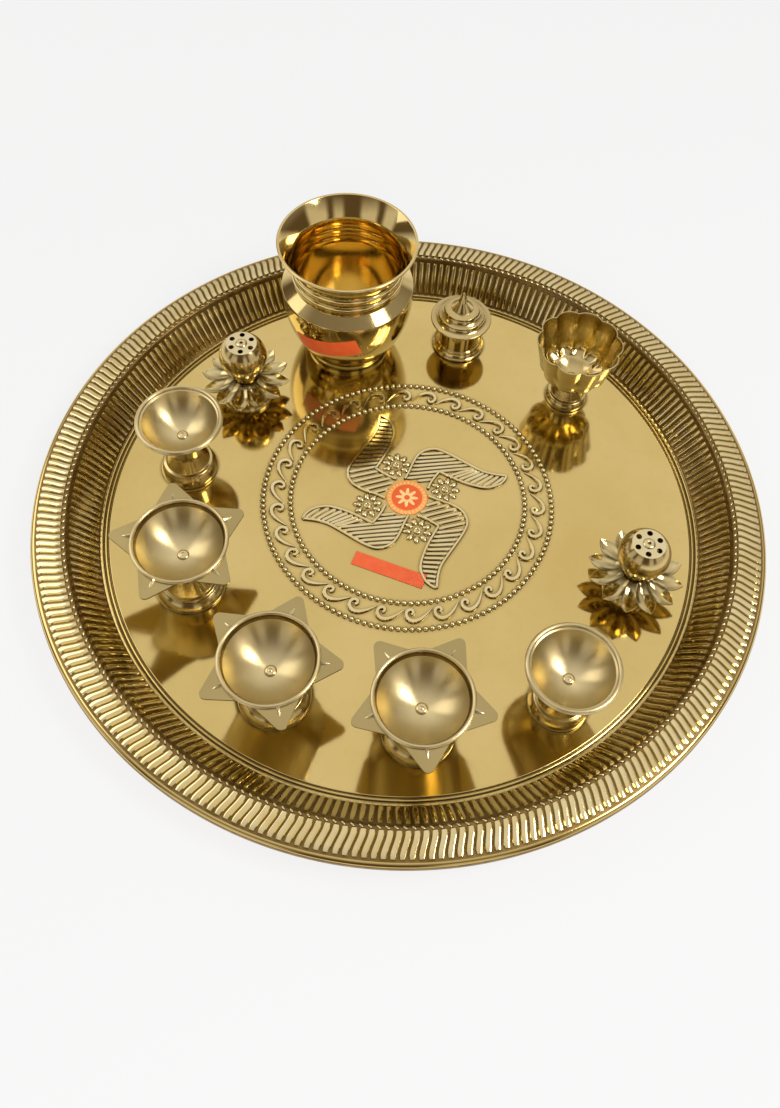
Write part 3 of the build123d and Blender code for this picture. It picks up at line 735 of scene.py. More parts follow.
def raised_bar(work: Mesh, path: Path, widths: list[float], heights: list[float],
               sides: int = 10, flat: float = 0.95) -> None:
    """Lay a rounded bar along a level path, sunk to its middle.

    Args:
        work: the mesh that the bar is added to.
        path: points of the path.
        widths: half the bar's width at each point.
        heights: the bar's height at each point.
        sides: how many sides the bar's section has.
        flat: share of the height at which the top is flattened.
    """
    frames = []
    for place, point in enumerate(path):
        ahead = path[min(place + 1, len(path) - 1)] - path[max(place - 1, 0)]
        ahead = Vector((ahead.x, ahead.y, 0.0)).normalized()
        across = Vector((-ahead.y, ahead.x, 0.0)) * widths[place]
        up = Vector((0.0, 0.0, heights[place]))
        turn = Matrix((across, up, ahead)).transposed().to_4x4()
        frames.append(Matrix.Translation(point) @ turn)
    ring = bmesh.ops.create_circle(work, cap_ends=False, segments=sides, radius=1.0)["verts"]
    for vert in ring:
        vert.co.y = max(-flat, min(flat, vert.co.y * 1.2))
    bmesh.ops.transform(work, matrix=frames[0], verts=ring)
    edges = list({e for v in ring for e in v.link_edges})
    bmesh.ops.edgeloop_fill(work, edges=edges)
    for old, new in zip(frames, frames[1:]):
        made = bmesh.ops.extrude_edge_only(work, edges=edges)["geom"]
        ring = [g for g in made if isinstance(g, bmesh.types.BMVert)]
        fresh = set(ring)
        edges = [g for g in made if isinstance(g, bmesh.types.BMEdge) and fresh.issuperset(g.verts)]
        bmesh.ops.transform(work, matrix=new @ old.inverted(), verts=ring)
    bmesh.ops.edgeloop_fill(work, edges=edges)


def wrap_turn(work: Mesh) -> None:
    """Give a turned mesh a map whose first way runs round its axis."""
    layer = work.loops.layers.uv.new("turn")
    for face in work.faces:
        middle = face.calc_center_median()
        base = atan2(middle.y, middle.x)
        for loop in face.loops:
            spot = loop.vert.co
            away = spot.xy.length
            turn = base
            if away > SAME_SPOT:
                step = atan2(spot.y, spot.x) - base
                turn = base + (step + pi) % tau - pi
            loop[layer].uv = (turn / tau, (away + spot.z) * 0.01)


def add_piece(work: Mesh, name: str, body: str, finishes: list[Material],
              place: Matrix, stands_for: tuple[str, ...] = ()) -> None:
    """Turn a mesh in millimetres into a piece of the model.

    Args:
        work: the mesh, which is used up.
        name: name of the piece.
        body: the body that it moves with.
        finishes: materials in the order of the faces' material numbers.
        place: where the piece goes, in millimetres.
        stands_for: the CAD nodes that it replaces.
    """
    bmesh.ops.recalc_face_normals(work, faces=work.faces[:])
    own = work.verts.layers.float_vector.new("own")
    for vert in work.verts:
        vert[own] = vert.co
    wrap_turn(work)
    for face in work.faces:
        face.smooth = True
    for edge in work.edges:
        edge.smooth = edge.is_manifold and edge.calc_face_angle(0.0) < radians(SMOOTH_TO)
    bmesh.ops.transform(work, matrix=Matrix.Scale(MM, 4) @ place, verts=work.verts[:])
    mesh = bpy.data.meshes.new(name)
    work.to_mesh(mesh)
    work.free()
    for finish in finishes:
        mesh.materials.append(finish)
    piece = bpy.data.objects.new(name, mesh)
    bpy.context.scene.collection.objects.link(piece)
    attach(piece, body)
    if stands_for:
        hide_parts(*stands_for)
    log.info("%s: %d faces, rides on %s", name, len(mesh.polygons), body)


def axis_of(node: str) -> Point:
    """Give the place of a turned node's axis in millimetres."""
    low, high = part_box(node)
    return ((low[0] + high[0]) / 2 / MM, (low[1] + high[1]) / 2 / MM)


def standing(at: Point, turn: float = 0.0) -> Matrix:
    """Give the place of a vessel that stands on the tray's floor, turned by degrees."""
    return Matrix.Translation((*at, FLOOR_TOP)) @ Matrix.Rotation(radians(turn), 4, "Z")


def add_relief(work: Mesh, name: str, groups: Groups, at: Point = (0.0, 0.0)) -> None:
    """Add raised work that is pressed into the tray's sheet."""
    add_piece(work, name, "tray", groups.brass("rib"), standing(at))


@dataclass(frozen=True)
class RibRing:
    """A ring of equal ribs round the tray."""

    name: str
    count: int
    half: float  # half a rib's width
    height: float
    start: float  # distance from the axis where the ribs begin
    end: float
    stations: int  # points along a rib
    leans: bool  # whether the ribs lean with a steep wall
    sway: float = 0.0  # how far the ends swing to either side


@dataclass
class Tray:
    """Pressed tray: floor, fine steps, ribbed wall, crest, ribbed band and rolled edge."""

    groups: Groups
    edge_r: float = 178.0
    sheet: float = FLOOR_TOP
    floor_r: float = 145.4
    floor_rings: int = 6  # rings of faces on the floor
    steps: Points = (  # fine steps, as distance past the floor's edge and height
        (-1.2, 0.0), (-0.7, 0.12), (-0.35, 0.0), (-0.1, -0.55), (0.3, -0.55), (0.55, 0.5), (0.9, 0.65),
        (1.5, 0.5), (1.8, -0.2), (2.15, -0.2), (2.4, 1.0), (2.9, 1.15))
    wall_foot_r: float = 149.0
    wall_foot_z: float = 1.0
    crest_r: float = 162.0
    crest_z: float = 17.8
    crest_half: float = 0.9
    band_fall: float = 1.0
    roll: float = 2.2
    lip: float = 1.6
    wall_ribs: RibRing = RibRing("tray_wall_ribs", 264, 1.35, 1.1, 149.9, 160.4, 6, True)
    band_ribs: RibRing = RibRing("tray_band_ribs", 284, 1.6, 1.0, 163.7, 174.7, 8, False, 1.2)
    rib_end: float = 0.78  # share of a rib's size near its ends
    rib_swell: float = 1.08  # how far its top is pushed up before it is flattened
    tooth: Triple = (1.35, 0.6, 0.55)  # half the sizes of a tooth of the crest
    tooth_turn: float = 52.0
    tooth_at: Point = (0.5, -0.1)  # its place from the crest's middle

    def wall_z(self, r: float) -> float:
        """Give the height of the sheet's top over the floor at a radius on the wall or the band."""
        if r < self.crest_r:
            share = (r - self.wall_foot_r) / (self.crest_r - self.wall_foot_r)
            return self.wall_foot_z + (self.crest_z - self.wall_foot_z) * share
        return self.crest_z - self.band_fall * (r - self.crest_r) / (self.edge_r - self.roll - self.crest_r)

    def outline(self) -> Outline:
        """Draw the half outline of the sheet, with the floor's top at height nought."""
        low = self.wall_foot_z
        run = self.crest_r - self.wall_foot_r
        rise = self.crest_z - low
        shift = self.sheet * hypot(run, rise) / rise
        slope = run / rise
        edge_z = self.crest_z - self.band_fall
        roll_r, roll_z = self.edge_r - self.roll, edge_z - self.roll
        inner = self.roll - self.sheet
        bend = sqrt(0.5)
        inside = self.crest_r - self.crest_half
        line = Outline((0.0, 0.0))
        ring_run = self.floor_r * 0.9 / self.floor_rings
        line.to(*[(ring_run * ring, 0.0) for ring in range(1, self.floor_rings + 1)])
        line.to(*[(self.floor_r + past, z) for past, z in self.steps])
        line.to((self.wall_foot_r, low), (inside, self.wall_z(inside)))
        line.arc((self.crest_r - 0.1, self.crest_z - 0.25),
                 (self.crest_r + self.crest_half, self.crest_z - 0.05), 6)
        line.to((roll_r, edge_z))
        line.arc((roll_r + self.roll * bend, roll_z + self.roll * bend), (self.edge_r, roll_z), 8)
        line.to((self.edge_r, roll_z - self.lip), (self.edge_r - self.sheet, roll_z - self.lip))
        line.to((self.edge_r - self.sheet, roll_z))
        line.arc((roll_r + inner * bend, roll_z + inner * bend), (roll_r, edge_z - self.sheet), 6)
        line.to((self.crest_r + shift - slope * self.sheet, self.crest_z - self.sheet))
        line.to((self.wall_foot_r + shift - slope * (low + self.sheet), -self.sheet), (0.0, -self.sheet))
        return line

    def build_sheet(self) -> None:
        """Spin the sheet, and put dark brass for tarnish and painted shade in the grooves of its wall and
        band, and painted shade under its rolled edge.
        """
        work = spun(self.outline(), steps=240, edge=0.12)
        dark_from, edge_from = self.wall_ribs.start - 0.6, self.edge_r - 0.7
        for face in work.faces:
            middle = face.calc_center_median()
            away = middle.xy.length
            # grooves between the ribs: tarnish and painted shade
            if dark_from < away < self.band_ribs.end and middle.z > 0.9 * self.wall_foot_z:
                face.material_index = 1 if face.normal.z > 0.1 else 0
            # under the rolled edge and on its lip: painted shade
            elif away > edge_from and face.normal.z < 0.5:
                face.material_index = 1
        add_piece(work, "tray_sheet", "tray", self.groups.brass("floor", "recess"),
                  standing((0, 0)), ("tray",))

    def build_ribs(self, ring: RibRing) -> None:
        """Shape one rib from a ball drawn out along stations, and set it round the tray.

        Args:
            ring: the ring of ribs.
        """
        spots = []
        for step in range(ring.stations):
            share = step / (ring.stations - 1)
            r = ring.start + (ring.end - ring.start) * share
            spots.append(Vector((r, ring.sway * cos(pi * share), self.wall_z(r))))
        rise = self.wall_z(ring.end) - self.wall_z(ring.start)
        lean = atan2(rise, ring.end - ring.start) if ring.leans else 0.0
        lift = Vector((-sin(lean), 0.0, cos(lean)))
        last = ring.stations + 1
        spots = [spots[0]] + spots + [spots[-1]]
        sizes = [0.0, self.rib_end] + [1.0] * (last - 3) + [self.rib_end, 0.0]
        work = shaped_ball((1.0, 1.0, 1.0), (0.0, 0.0, 0.0), rows=last)
        for vert in work.verts:
            row = round((1.0 - atan2(vert.co.xy.length, vert.co.z) / pi) * last)
            around = vert.co.xy.normalized() if 0 < row < last else Vector((0.0, 0.0))
            flat = max(min(around.y * self.rib_swell, 1.0), -1.0)
            aside = Vector((0.0, around.x * ring.half * sizes[row], 0.0))
            vert.co = spots[row] + aside + lift * (flat * ring.height * sizes[row])
        ring_of(work, ring.count)
        add_relief(work, ring.name, self.groups)

    def build_crest(self) -> None:
        """Set the slanted teeth of the rope-like crest."""
        at = (self.crest_r + self.tooth_at[0], 0.0, self.crest_z + self.tooth_at[1])
        work = shaped_ball(self.tooth, at, self.tooth_turn, sides=6)
        ring_of(work, self.band_ribs.count)
        add_relief(work, "tray_crest", self.groups)

    def build(self) -> None:
        """Build every piece of the tray."""
        self.build_sheet()
        self.build_ribs(self.wall_ribs)
        self.build_ribs(self.band_ribs)
        self.build_crest()


@dataclass(frozen=True)
class HatchRun:
    """A run of raised hatch lines, from one middle point and slope to another."""

    start: Point
    end: Point
    count: int
    slope_start: float
    slope_end: float


@dataclass
class Medallion:
    """Pressed medallion: bead rings, running scrolls, the four-armed emblem and rosettes."""

    groups: Groups
    centre: Point = (1.8, 7.1)
    emblem_centre: Point = (1.0, 7.7)
    label_r: float = 10.9
    bead: Triple = (1.55, 1.55, 1.4725)  # half the sizes of a bead
    bead_rings: tuple[tuple[float, int], ...] = ((59.6, 116), (73.3, 142))
    scrolls: int = 30
    scroll_line: Points = ((0.0, 63.2), (3.0, 66.4), (6.0, 68.7), (8.6, 69.2), (10.4, 67.9),
                           (11.1, 65.7), (10.2, 63.7), (8.6, 63.5), (8.1, 65.0), (8.9, 65.8))
    scroll_half: tuple[float, ...] = (0.3, 0.8, 1.15, 1.3, 1.25, 1.15, 1.1, 1.05, 1.0, 0.8)
    scroll_from: float = 8.9
    relief: float = 1.1
    line_half: float = 0.8
    arm_outer: Points = ((-1.8, 11.0), (-0.2, 15.4), (1.2, 20.4), (3.0, 25.2), (5.6, 28.8), (8.8, 30.8),
                         (12.8, 31.6), (17.2, 30.4), (22.8, 27.8), (30.8, 23.6), (37.8, 20.2),
                         (43.8, 19.0), (50.4, 18.8))
    arm_inner: Points = ((50.4, 18.8), (49.6, 16.2), (47.4, 13.4), (43.6, 11.2), (38.8, 10.2),
                         (33.2, 11.0), (26.8, 12.8), (20.8, 15.2), (15.6, 17.4))
    arm_root: Points = ((15.6, 17.4), (13.4, 13.8), (11.6, 10.0), (10.4, 6.2))
    long_hatch: tuple[HatchRun, ...] = (HatchRun((6.8, 11.0), (7.8, 27.9), 8, 14.0, 11.0),
                                        HatchRun((26.4, 18.2), (47.4, 16.0), 8, 25.0, 46.0))
    cross_hatch: tuple[HatchRun, ...] = (HatchRun((-12.2, 3.0), (-21.0, 15.6), 6, 24.0, 20.0),
                                         HatchRun((-21.6, 18.2), (-16.2, 47.0), 12, 14.0, -2.0))
    rosette_r: float = 20.5
    rosette_turn: float = 20.0
    rosette_petals: int = 9
    petal_ring: float = 5.2
    petal: Triple = (2.5, 1.65, 1.1)  # half the sizes of a rosette's petal
    hatch_half: Point = (0.7, 1.12)  # half the width of a hatch line at its ends and between
    hatch_high: float = 0.7  # its height as a share of the relief
    hatch_runs: int = 8  # straight runs along a hatch line

    def build_beads(self) -> None:
        """Set the two rings of beads."""
        whole = bmesh.new()
        for radius, count in self.bead_rings:
            work = shaped_ball(self.bead, (radius, 0.0, 0.0))
            ring_of(work, count)
            join(whole, work)
        add_relief(whole, "medallion_beads", self.groups, self.centre)

    def build_scrolls(self) -> None:
        """Lay the running scrolls between the bead rings."""
        work = bmesh.new()
        points = []
        for turn, radius in self.scroll_line:
            way = radians(90.0 - self.scroll_from - turn)
            points.append(Vector((radius * cos(way), radius * sin(way), 0.0)))
        path = smooth_path(points, 2)
        sizes = smooth_path([Vector((half, 0.0, 0.0)) for half in self.scroll_half], 2)
        halves = [size.x for size in sizes]
        raised_bar(work, path, halves, [self.relief * min(1.2, half + 0.15) for half in halves], flat=1.0)
        ring_of(work, self.scrolls)
        add_relief(work, "medallion_scrolls", self.groups, self.centre)

    def arm_paths(self, turn: int) -> list[Path]:
        """Give the smooth edges of an arm, turned by quarters."""
        spin = Matrix.Rotation(turn * pi / 2, 3, "Z")
        lines = (self.arm_outer, self.arm_inner, self.arm_root)
        return [smooth_path([spin @ Vector((x, y, 0.0)) for x, y in line], 3) for line in lines]

    def build_arms(self) -> None:
        """Lay the raised outline of the four arms."""
        work = bmesh.new()
        for turn in range(4):
            for path in self.arm_paths(turn):
                raised_bar(work, path, [self.line_half] * len(path), [self.relief] * len(path))
        add_relief(work, "medallion_arms", self.groups, self.emblem_centre)

    def hatch_line(self, middle: Vector, slope: float, border: Path) -> Path:
        """Find the points of one hatch line.

        Args:
            middle: a point of the line inside the arm.
            slope: the line's slope in degrees.
            border: closed border of the arm.

        Returns:
            The points inside the arm and clear of the round label, none if the line misses the arm.
        """
        way = Vector((cos(radians(slope)), sin(radians(slope)), 0.0))
        low, high = -inf, inf
        for one, two in zip(border, border[1:] + border[:1]):
            side, apart = two - one, one - middle
            cross = way.x * side.y - way.y * side.x
            if cross and 0.0 <= (apart.x * way.y - apart.y * way.x) / cross <= 1.0:
                reach = (apart.x * side.y - apart.y * side.x) / cross
                low, high = (low, min(high, reach)) if reach >= 0.0 else (max(low, reach), high)
        if low == -inf or high == inf:
            return []
        low, high = low + self.line_half, high - self.line_half
        shares = [part / self.hatch_runs for part in range(self.hatch_runs + 1)]
        spots = [middle + way * (low + (high - low) * share) for share in shares]
        return [spot for spot in spots if spot.length > self.label_r]

    def build_hatch(self) -> None:
        """Lay the slanted hatch lines that fill the arms."""
        work = bmesh.new()
        ends, between = self.hatch_half
        for turn in range(4):
            border = [point for path in self.arm_paths(turn) for point in path]
            flip = Matrix.Rotation(pi if turn >= 2 else 0.0, 3, "Z")
            for run in (self.cross_hatch if turn % 2 else self.long_hatch):
                start, end = Vector((*run.start, 0.0)), Vector((*run.end, 0.0))
                for step in range(run.count):
                    share = step / (run.count - 1)
                    slope = run.slope_start + (run.slope_end - run.slope_start) * share
                    spots = self.hatch_line(flip @ start.lerp(end, share), slope, border)
                    if len(spots) > 2:
                        halves = [ends] + [between] * (len(spots) - 2) + [ends]
                        heights = [self.relief * self.hatch_high] * len(spots)
                        raised_bar(work, spots, halves, heights, flat=0.8)
        add_relief(work, "medallion_hatch", self.groups, self.emblem_centre)

    def build_rosettes(self) -> None:
        """Set the four rosettes between the arms."""
        work = shaped_ball(self.petal, (self.petal_ring, 0.0, 0.0))
        ring_of(work, self.rosette_petals)
        heart = Outline((0.0, 0.35)).to((0.6, 0.35)).arc((1.3, 0.9), (2.0, -0.1), 6)
        join(work, spun(heart, 16, 0.0))
        way = radians(self.rosette_turn)
        offset = (self.rosette_r * cos(way), self.rosette_r * sin(way), 0.0)
        bmesh.ops.translate(work, vec=offset, verts=work.verts[:])
        ring_of(work, 4)
        add_relief(work, "medallion_rosettes", self.groups, self.emblem_centre)

    def build(self) -> None:
        """Build every piece of the medallion."""
        self.build_beads()
        self.build_scrolls()
        self.build_arms()
        self.build_hatch()
        self.build_rosettes()


@dataclass
class Labels:
    """The paper labels on the tray: a round one with a plain flower, and a bare slip."""

    thick: float = 0.25
    round_r: float = 10.5
    slip_at: Point = (-4.0, -35.1)
    slip_turn: float = -15.8
    slip_size: Point = (36.8, 7.6)
    corner_lift: float = 0.9
    lift_from: Point = (0.8, 0.1)  # shares of the length and width where the lifted corner begins
    lift_curve: float = 1.5

    def build_round(self) -> None:
        """Lay the round label in the middle of the medallion."""
        line = Outline((0.0, self.thick)).to((self.round_r * 0.5, self.thick), (self.round_r, self.thick))
        line.to((self.round_r, 0.0), (0.0, 0.0))
        finish = FlowerFinish("round flower label", (0.80, 0.10, 0.012, 1), (0.98, 0.62, 0.24, 1),
                              (0.90, 0.36, 0.08, 1), self.round_r)
        add_piece(spun(line, 72, 0.05), "round_label", "tray", [finish.material()],
                  standing(axis_of("tray_round_label")), ("tray_round_label",))

    def build_slip(self) -> None:
        """Lay the rectangular label, with one corner resting on the emblem's raised tip."""
        work = bmesh.new()
        bmesh.ops.create_grid(work, x_segments=24, y_segments=6, size=0.5)
        bmesh.ops.scale(work, vec=(*self.slip_size, 1.0), verts=work.verts[:])
        bmesh.ops.solidify(work, geom=work.faces[:], thickness=-self.thick)
        low = min(vert.co.z for vert in work.verts)
        for vert in work.verts:
            lift = 1.0
            for place, size, start in zip(vert.co.xy, self.slip_size, self.lift_from):
                lift *= max(0.0, place / size + 0.5 - start) / (1.0 - start)
            vert.co.z += self.corner_lift * lift ** self.lift_curve - low
        add_piece(work, "slip_label", "tray", [LABEL_PAPER.material()],
                  standing(self.slip_at, self.slip_turn), ("tray_label",))

    def build(self) -> None:
        """Build both labels."""
        self.build_round()
        self.build_slip()


@dataclass
class Kalash:
    """Spun water pot with its foot ring, belly, creased shoulder, ringed neck and flared mouth."""

    groups: Groups
    sheet: float = 1.2
    height: float = 75.0
    mouth_r: float = 35.8
    lip: float = 1.38
    neck_r: float = 28.2
    throat_z: float = 64.5
    throat: Points = ((0.0, -1.0), (0.5, 0.4), (1.7, 1.9))  # its curve outside, from the neck
    throat_in: Points = ((1.5, 2.48), (0.4, 0.5), (0.0, -1.0))  # and inside
    shoulder_z: float = 49.6
    crease_r: float = 34.4
    crease_z: float = 45.9
    belly_r: float = 34.7
    belly_z: float = 41.0
    foot_r: float = 22.2
    foot_h: float = 3.6
    foot_flare: float = 1.2
    recess: float = 2.0
    foot_wall: float = 1.8
    ring: float = 1.0
    ring_half: float = 1.7
    ring_in: float = 0.5  # height of a ring as it shows inside the neck
    ring_z: tuple[float, float] = (54.0, 59.4)
    label_size: Point = (34.0, 12.2)
    label_z: float = 29.2
    label_way: float = -102.6
    label_tilt: float = 14.0
    label_thick: float = 0.25

    def belly(self, z: float, inset: float = 0.0) -> Point:
        """Give the point of the belly's curve at a height."""
        low_r, low_z = self.foot_r + self.foot_flare, self.foot_h + self.foot_flare
        gap = self.belly_r - low_r
        radius = (gap ** 2 + (self.belly_z - low_z) ** 2) / (2 * gap)
        centre = self.belly_r - radius
        return (centre + sqrt((radius - inset) ** 2 - (self.belly_z - z) ** 2), z)

    def outline(self) -> Outline:
        """Draw the pot's half outline."""
        sheet = self.sheet
        foot_top = self.foot_h + self.foot_flare
        floor_z = self.recess + sheet
        run = self.crease_r - self.neck_r
        rise = self.shoulder_z - self.crease_z
        drop = sheet * hypot(run, rise) / run
        neck_in = self.neck_r - sheet
        shoulder_in = self.shoulder_z + sheet * rise / run - drop
        crease_in = self.crease_z + sheet * rise / run - drop
        flare = (self.mouth_r - self.neck_r) / (self.height - self.throat_z)
        line = Outline((self.foot_r, 0.0)).to((self.foot_r, self.foot_h), self.belly(foot_top))
        line.arc(self.belly((foot_top + self.crease_z) / 2), self.belly(self.crease_z), 24)
        line.to((self.neck_r, self.shoulder_z))
        for z in self.ring_z:
            line.to((self.neck_r, z - self.ring_half))
            line.arc((self.neck_r + self.ring, z), (self.neck_r, z + self.ring_half), 10)
        start, middle, end = beside((self.neck_r, self.throat_z), self.throat)
        line.to(start).arc(middle, end, 6)
        line.to((self.mouth_r - flare * sheet, self.height - sheet))
        line.arc((self.mouth_r, self.height - 0.42), (self.mouth_r - self.lip * 0.55, self.height - 0.02), 8)
        line.to((self.mouth_r - self.lip, self.height))
        start, middle, end = beside((neck_in, self.throat_z), self.throat_in)
        line.to(start).arc(middle, end, 6)
        for z in reversed(self.ring_z):
            line.to((neck_in, z + self.ring_half))
            line.arc((neck_in + self.ring_in, z), (neck_in, z - self.ring_half), 10)
        line.to((neck_in, shoulder_in), self.belly(crease_in, sheet))
        line.arc(self.belly((crease_in + floor_z) / 2, sheet), self.belly(floor_z + 3.0, sheet), 24)
        line.to((self.foot_r - 1.0, floor_z), (0.0, floor_z), (0.0, self.recess))
        line.to((self.foot_r - self.foot_wall, self.recess), (self.foot_r - self.foot_wall, 0.0))
        return line.close()

    def build_label(self, at: Point) -> None:
        """Bend the tilted paper label round the belly."""
        work = bmesh.new()
        bmesh.ops.create_grid(work, x_segments=28, y_segments=10, size=0.5)
        tilt = Matrix.Rotation(radians(self.label_tilt), 3, "Z")
        for vert in work.verts:
            flat = tilt @ Vector((vert.co.x * self.label_size[0], vert.co.y * self.label_size[1], 0.0))
            away, z = self.belly(self.label_z + flat.y, -0.02)
            vert.co = (sqrt(away ** 2 - flat.x ** 2), flat.x, z)
        thicken(work, Vector((1.0, 0.0, 0.0)), -self.label_thick)
        add_piece(work, "kalash_slip", "kalash", [LABEL_PAPER.material()],
                  standing(at, self.label_way), ("kalash_label",))

    def build(self) -> None:
        """Build the pot and its label."""
        at = axis_of("kalash")
        work = spun(self.outline(), 144, 0.2)
        for face in work.faces:
            middle = face.calc_center_median()
            inward = face.normal.x * middle.x + face.normal.y * middle.y < 0.0 or face.normal.z > 0.99
            face.material_index = 1 if inward and self.recess < middle.z < self.throat_z else 0
        add_piece(work, "kalash_pot", "kalash", self.groups.brass("polished", "well"),
                  standing(at), ("kalash",))
        self.build_label(at)


@dataclass
class KumkumBox:
    """Small powder box with its tiered, pointed lid."""

    groups: Groups
    base_r: float = 14.4
    base_h: float = 1.4
    base_edge: float = 0.5
    base_curve: Point = (12.8, 2.7)
    base_ring: Point = (12.0, 4.6)
    column_r: float = 11.1
    column_z: float = 5.1
    height: float = 20.6
    wall: float = 1.3
    floor: float = 1.6
    lid_r: float = 16.7
    lid_round: float = 0.4
    flange: float = 1.2
    gap: float = 0.3
    spigot: float = 3.2
    lid_wall: float = 1.1
    brim_r: float = 14.2
    tiers: tuple[tuple[Point, Point], ...] = (((12.3, 4.0), (10.5, 5.1)), ((9.3, 7.9), (6.6, 8.9)))
    tier_bead: Points = ((-0.2, -0.5), (0.25, -0.1), (-0.2, 0.3))  # from a tier's edge
    tier_sag: Point = (0.2, 0.4)  # how far out and up the hollow under a tier lies
    hollow: Points = ((11.4, 2.9), (9.6, 4.4), (8.3, 6.9), (5.6, 7.9))
    spire: Points = ((6.0, 8.8), (4.2, 10.988), (2.4, 13.4))  # curve from its groove up
    tip_r: float = 0.7
    tip_z: float = 19.4

    def build_box(self) -> None:
        """Spin the box."""
        inner = self.column_r - self.wall
        line = Outline((0.0, 0.0)).to((self.base_r - self.base_edge, 0.0))
        line.to((self.base_r, self.base_edge), (self.base_r, self.base_h))
        line.arc(self.base_curve, self.base_ring, 8)
        line.to((self.column_r, self.column_z), (self.column_r, self.height))
        line.to((inner, self.height), (inner, self.floor), (0.0, self.floor))
        add_piece(spun(line, 80, 0.18), "kumkum_cup", "kumkum_box",
                  self.groups.brass("polished"), standing(axis_of("kumkum_box")), ("kumkum_box",))

    def build_lid(self) -> None:
        """Spin the lid."""
        top = self.height
        spigot_r = self.column_r - self.wall - self.gap
        inside = beside((0.0, top), self.hollow)
        rim_r = self.lid_r - self.lid_round
        line = Outline((spigot_r, top)).to((rim_r, top))
        line.arc((self.lid_r, top + self.flange / 2), (rim_r, top + self.flange), 6)
        low_r, low_z = self.brim_r, self.flange
        for (edge_r, edge_z), (in_r, in_z) in self.tiers:
            line.to((low_r, top + low_z))
            sag_r = edge_r + (low_r - edge_r) * self.tier_sag[0]
            sag_z = low_z + (edge_z - low_z) * self.tier_sag[1]
            below, bead, above = beside((edge_r, top + edge_z), self.tier_bead)
            line.arc((sag_r, top + sag_z), below, 6).arc(bead, above, 5)
            low_r, low_z = in_r, in_z
        groove, bend, end = beside((0.0, top), self.spire)
        line.to((low_r, top + low_z), groove).arc(bend, end, 10)
        line.to((self.tip_r, top + self.tip_z - self.tip_r / 2), (self.tip_r / 2, top + self.tip_z))
        line.to((0.0, top + self.tip_z), (0.0, inside[-1][1]), *reversed(inside))
        line.to((spigot_r - self.lid_wall, top), (spigot_r - self.lid_wall, top - self.spigot))
        line.to((spigot_r, top - self.spigot)).close()
        add_piece(spun(line, 80, 0.1), "kumkum_cover", "kumkum_lid",
                  self.groups.brass("turned"), standing(axis_of("kumkum_lid")), ("kumkum_lid",))

    def build(self) -> None:
        """Build the box and its lid."""
        self.build_box()
        self.build_lid()


@dataclass(frozen=True)
class FootShape:
    """Sizes of a spun hollow foot that seats a round bowl."""

    base_r: float
    step: Point
    waist: Point
    seat_r: float
    edge: float = 1.5
    ledge: Point = (0.9, 0.5)
    bead: Points = ((-0.2, -1.0), (0.3, -0.4), (-0.3, 0.2))  # from the step
    groove: Point = (-0.5, -0.2)  # from the ledge
    sag: Triple = (0.52, 0.34, 0.3)  # how full the skirt, neck and seat are
    sheet: float = 1.0
    web: float = 1.2
    hole_r: float = 1.55

    def outline(self, ball_z: float, ball_r: float) -> Outline:
        """Draw the foot's half outline.

        Args:
            ball_z: height of the centre of the bowl's outside.
            ball_r: radius of the bowl's outside.

        Returns:
            The closed half outline.
        """
        step_r, step_z = self.step
        waist_r, waist_z = self.waist
        seat = on_ball(ball_z, ball_r, self.seat_r)
        web_z = on_ball(ball_z, ball_r, self.hole_r)[1] - self.web
        ledge_r, ledge_z = step_r - self.ledge[0], step_z + self.ledge[1]
        line = Outline((self.base_r, 0.0)).to((self.base_r, self.edge))
        skirt, neck, under = self.sag
        below, bead, above = beside(self.step, self.bead)
        line.arc((step_r + (self.base_r - step_r) * skirt, (self.edge + step_z) / 2), below, 6)
        line.arc(bead, above, 6).to((ledge_r + self.groove[0], ledge_z + self.groove[1]))
        line.arc((waist_r + (step_r - waist_r) * neck, (step_z + waist_z) / 2), self.waist, 10)
        line.arc((waist_r + (self.seat_r - waist_r) * under, (waist_z + seat[1]) / 2), seat, 8)
        ball_arc(line, ball_z, ball_r, self.seat_r, self.hole_r, 8)
        inner_r = waist_r - self.sheet
        line.to((self.hole_r, web_z), (inner_r, web_z), (inner_r, waist_z - self.sheet))
        line.to((ledge_r - self.sheet, ledge_z - self.sheet), (self.base_r - self.sheet, self.edge))
        return line.to((self.base_r - self.sheet, 0.0)).close()


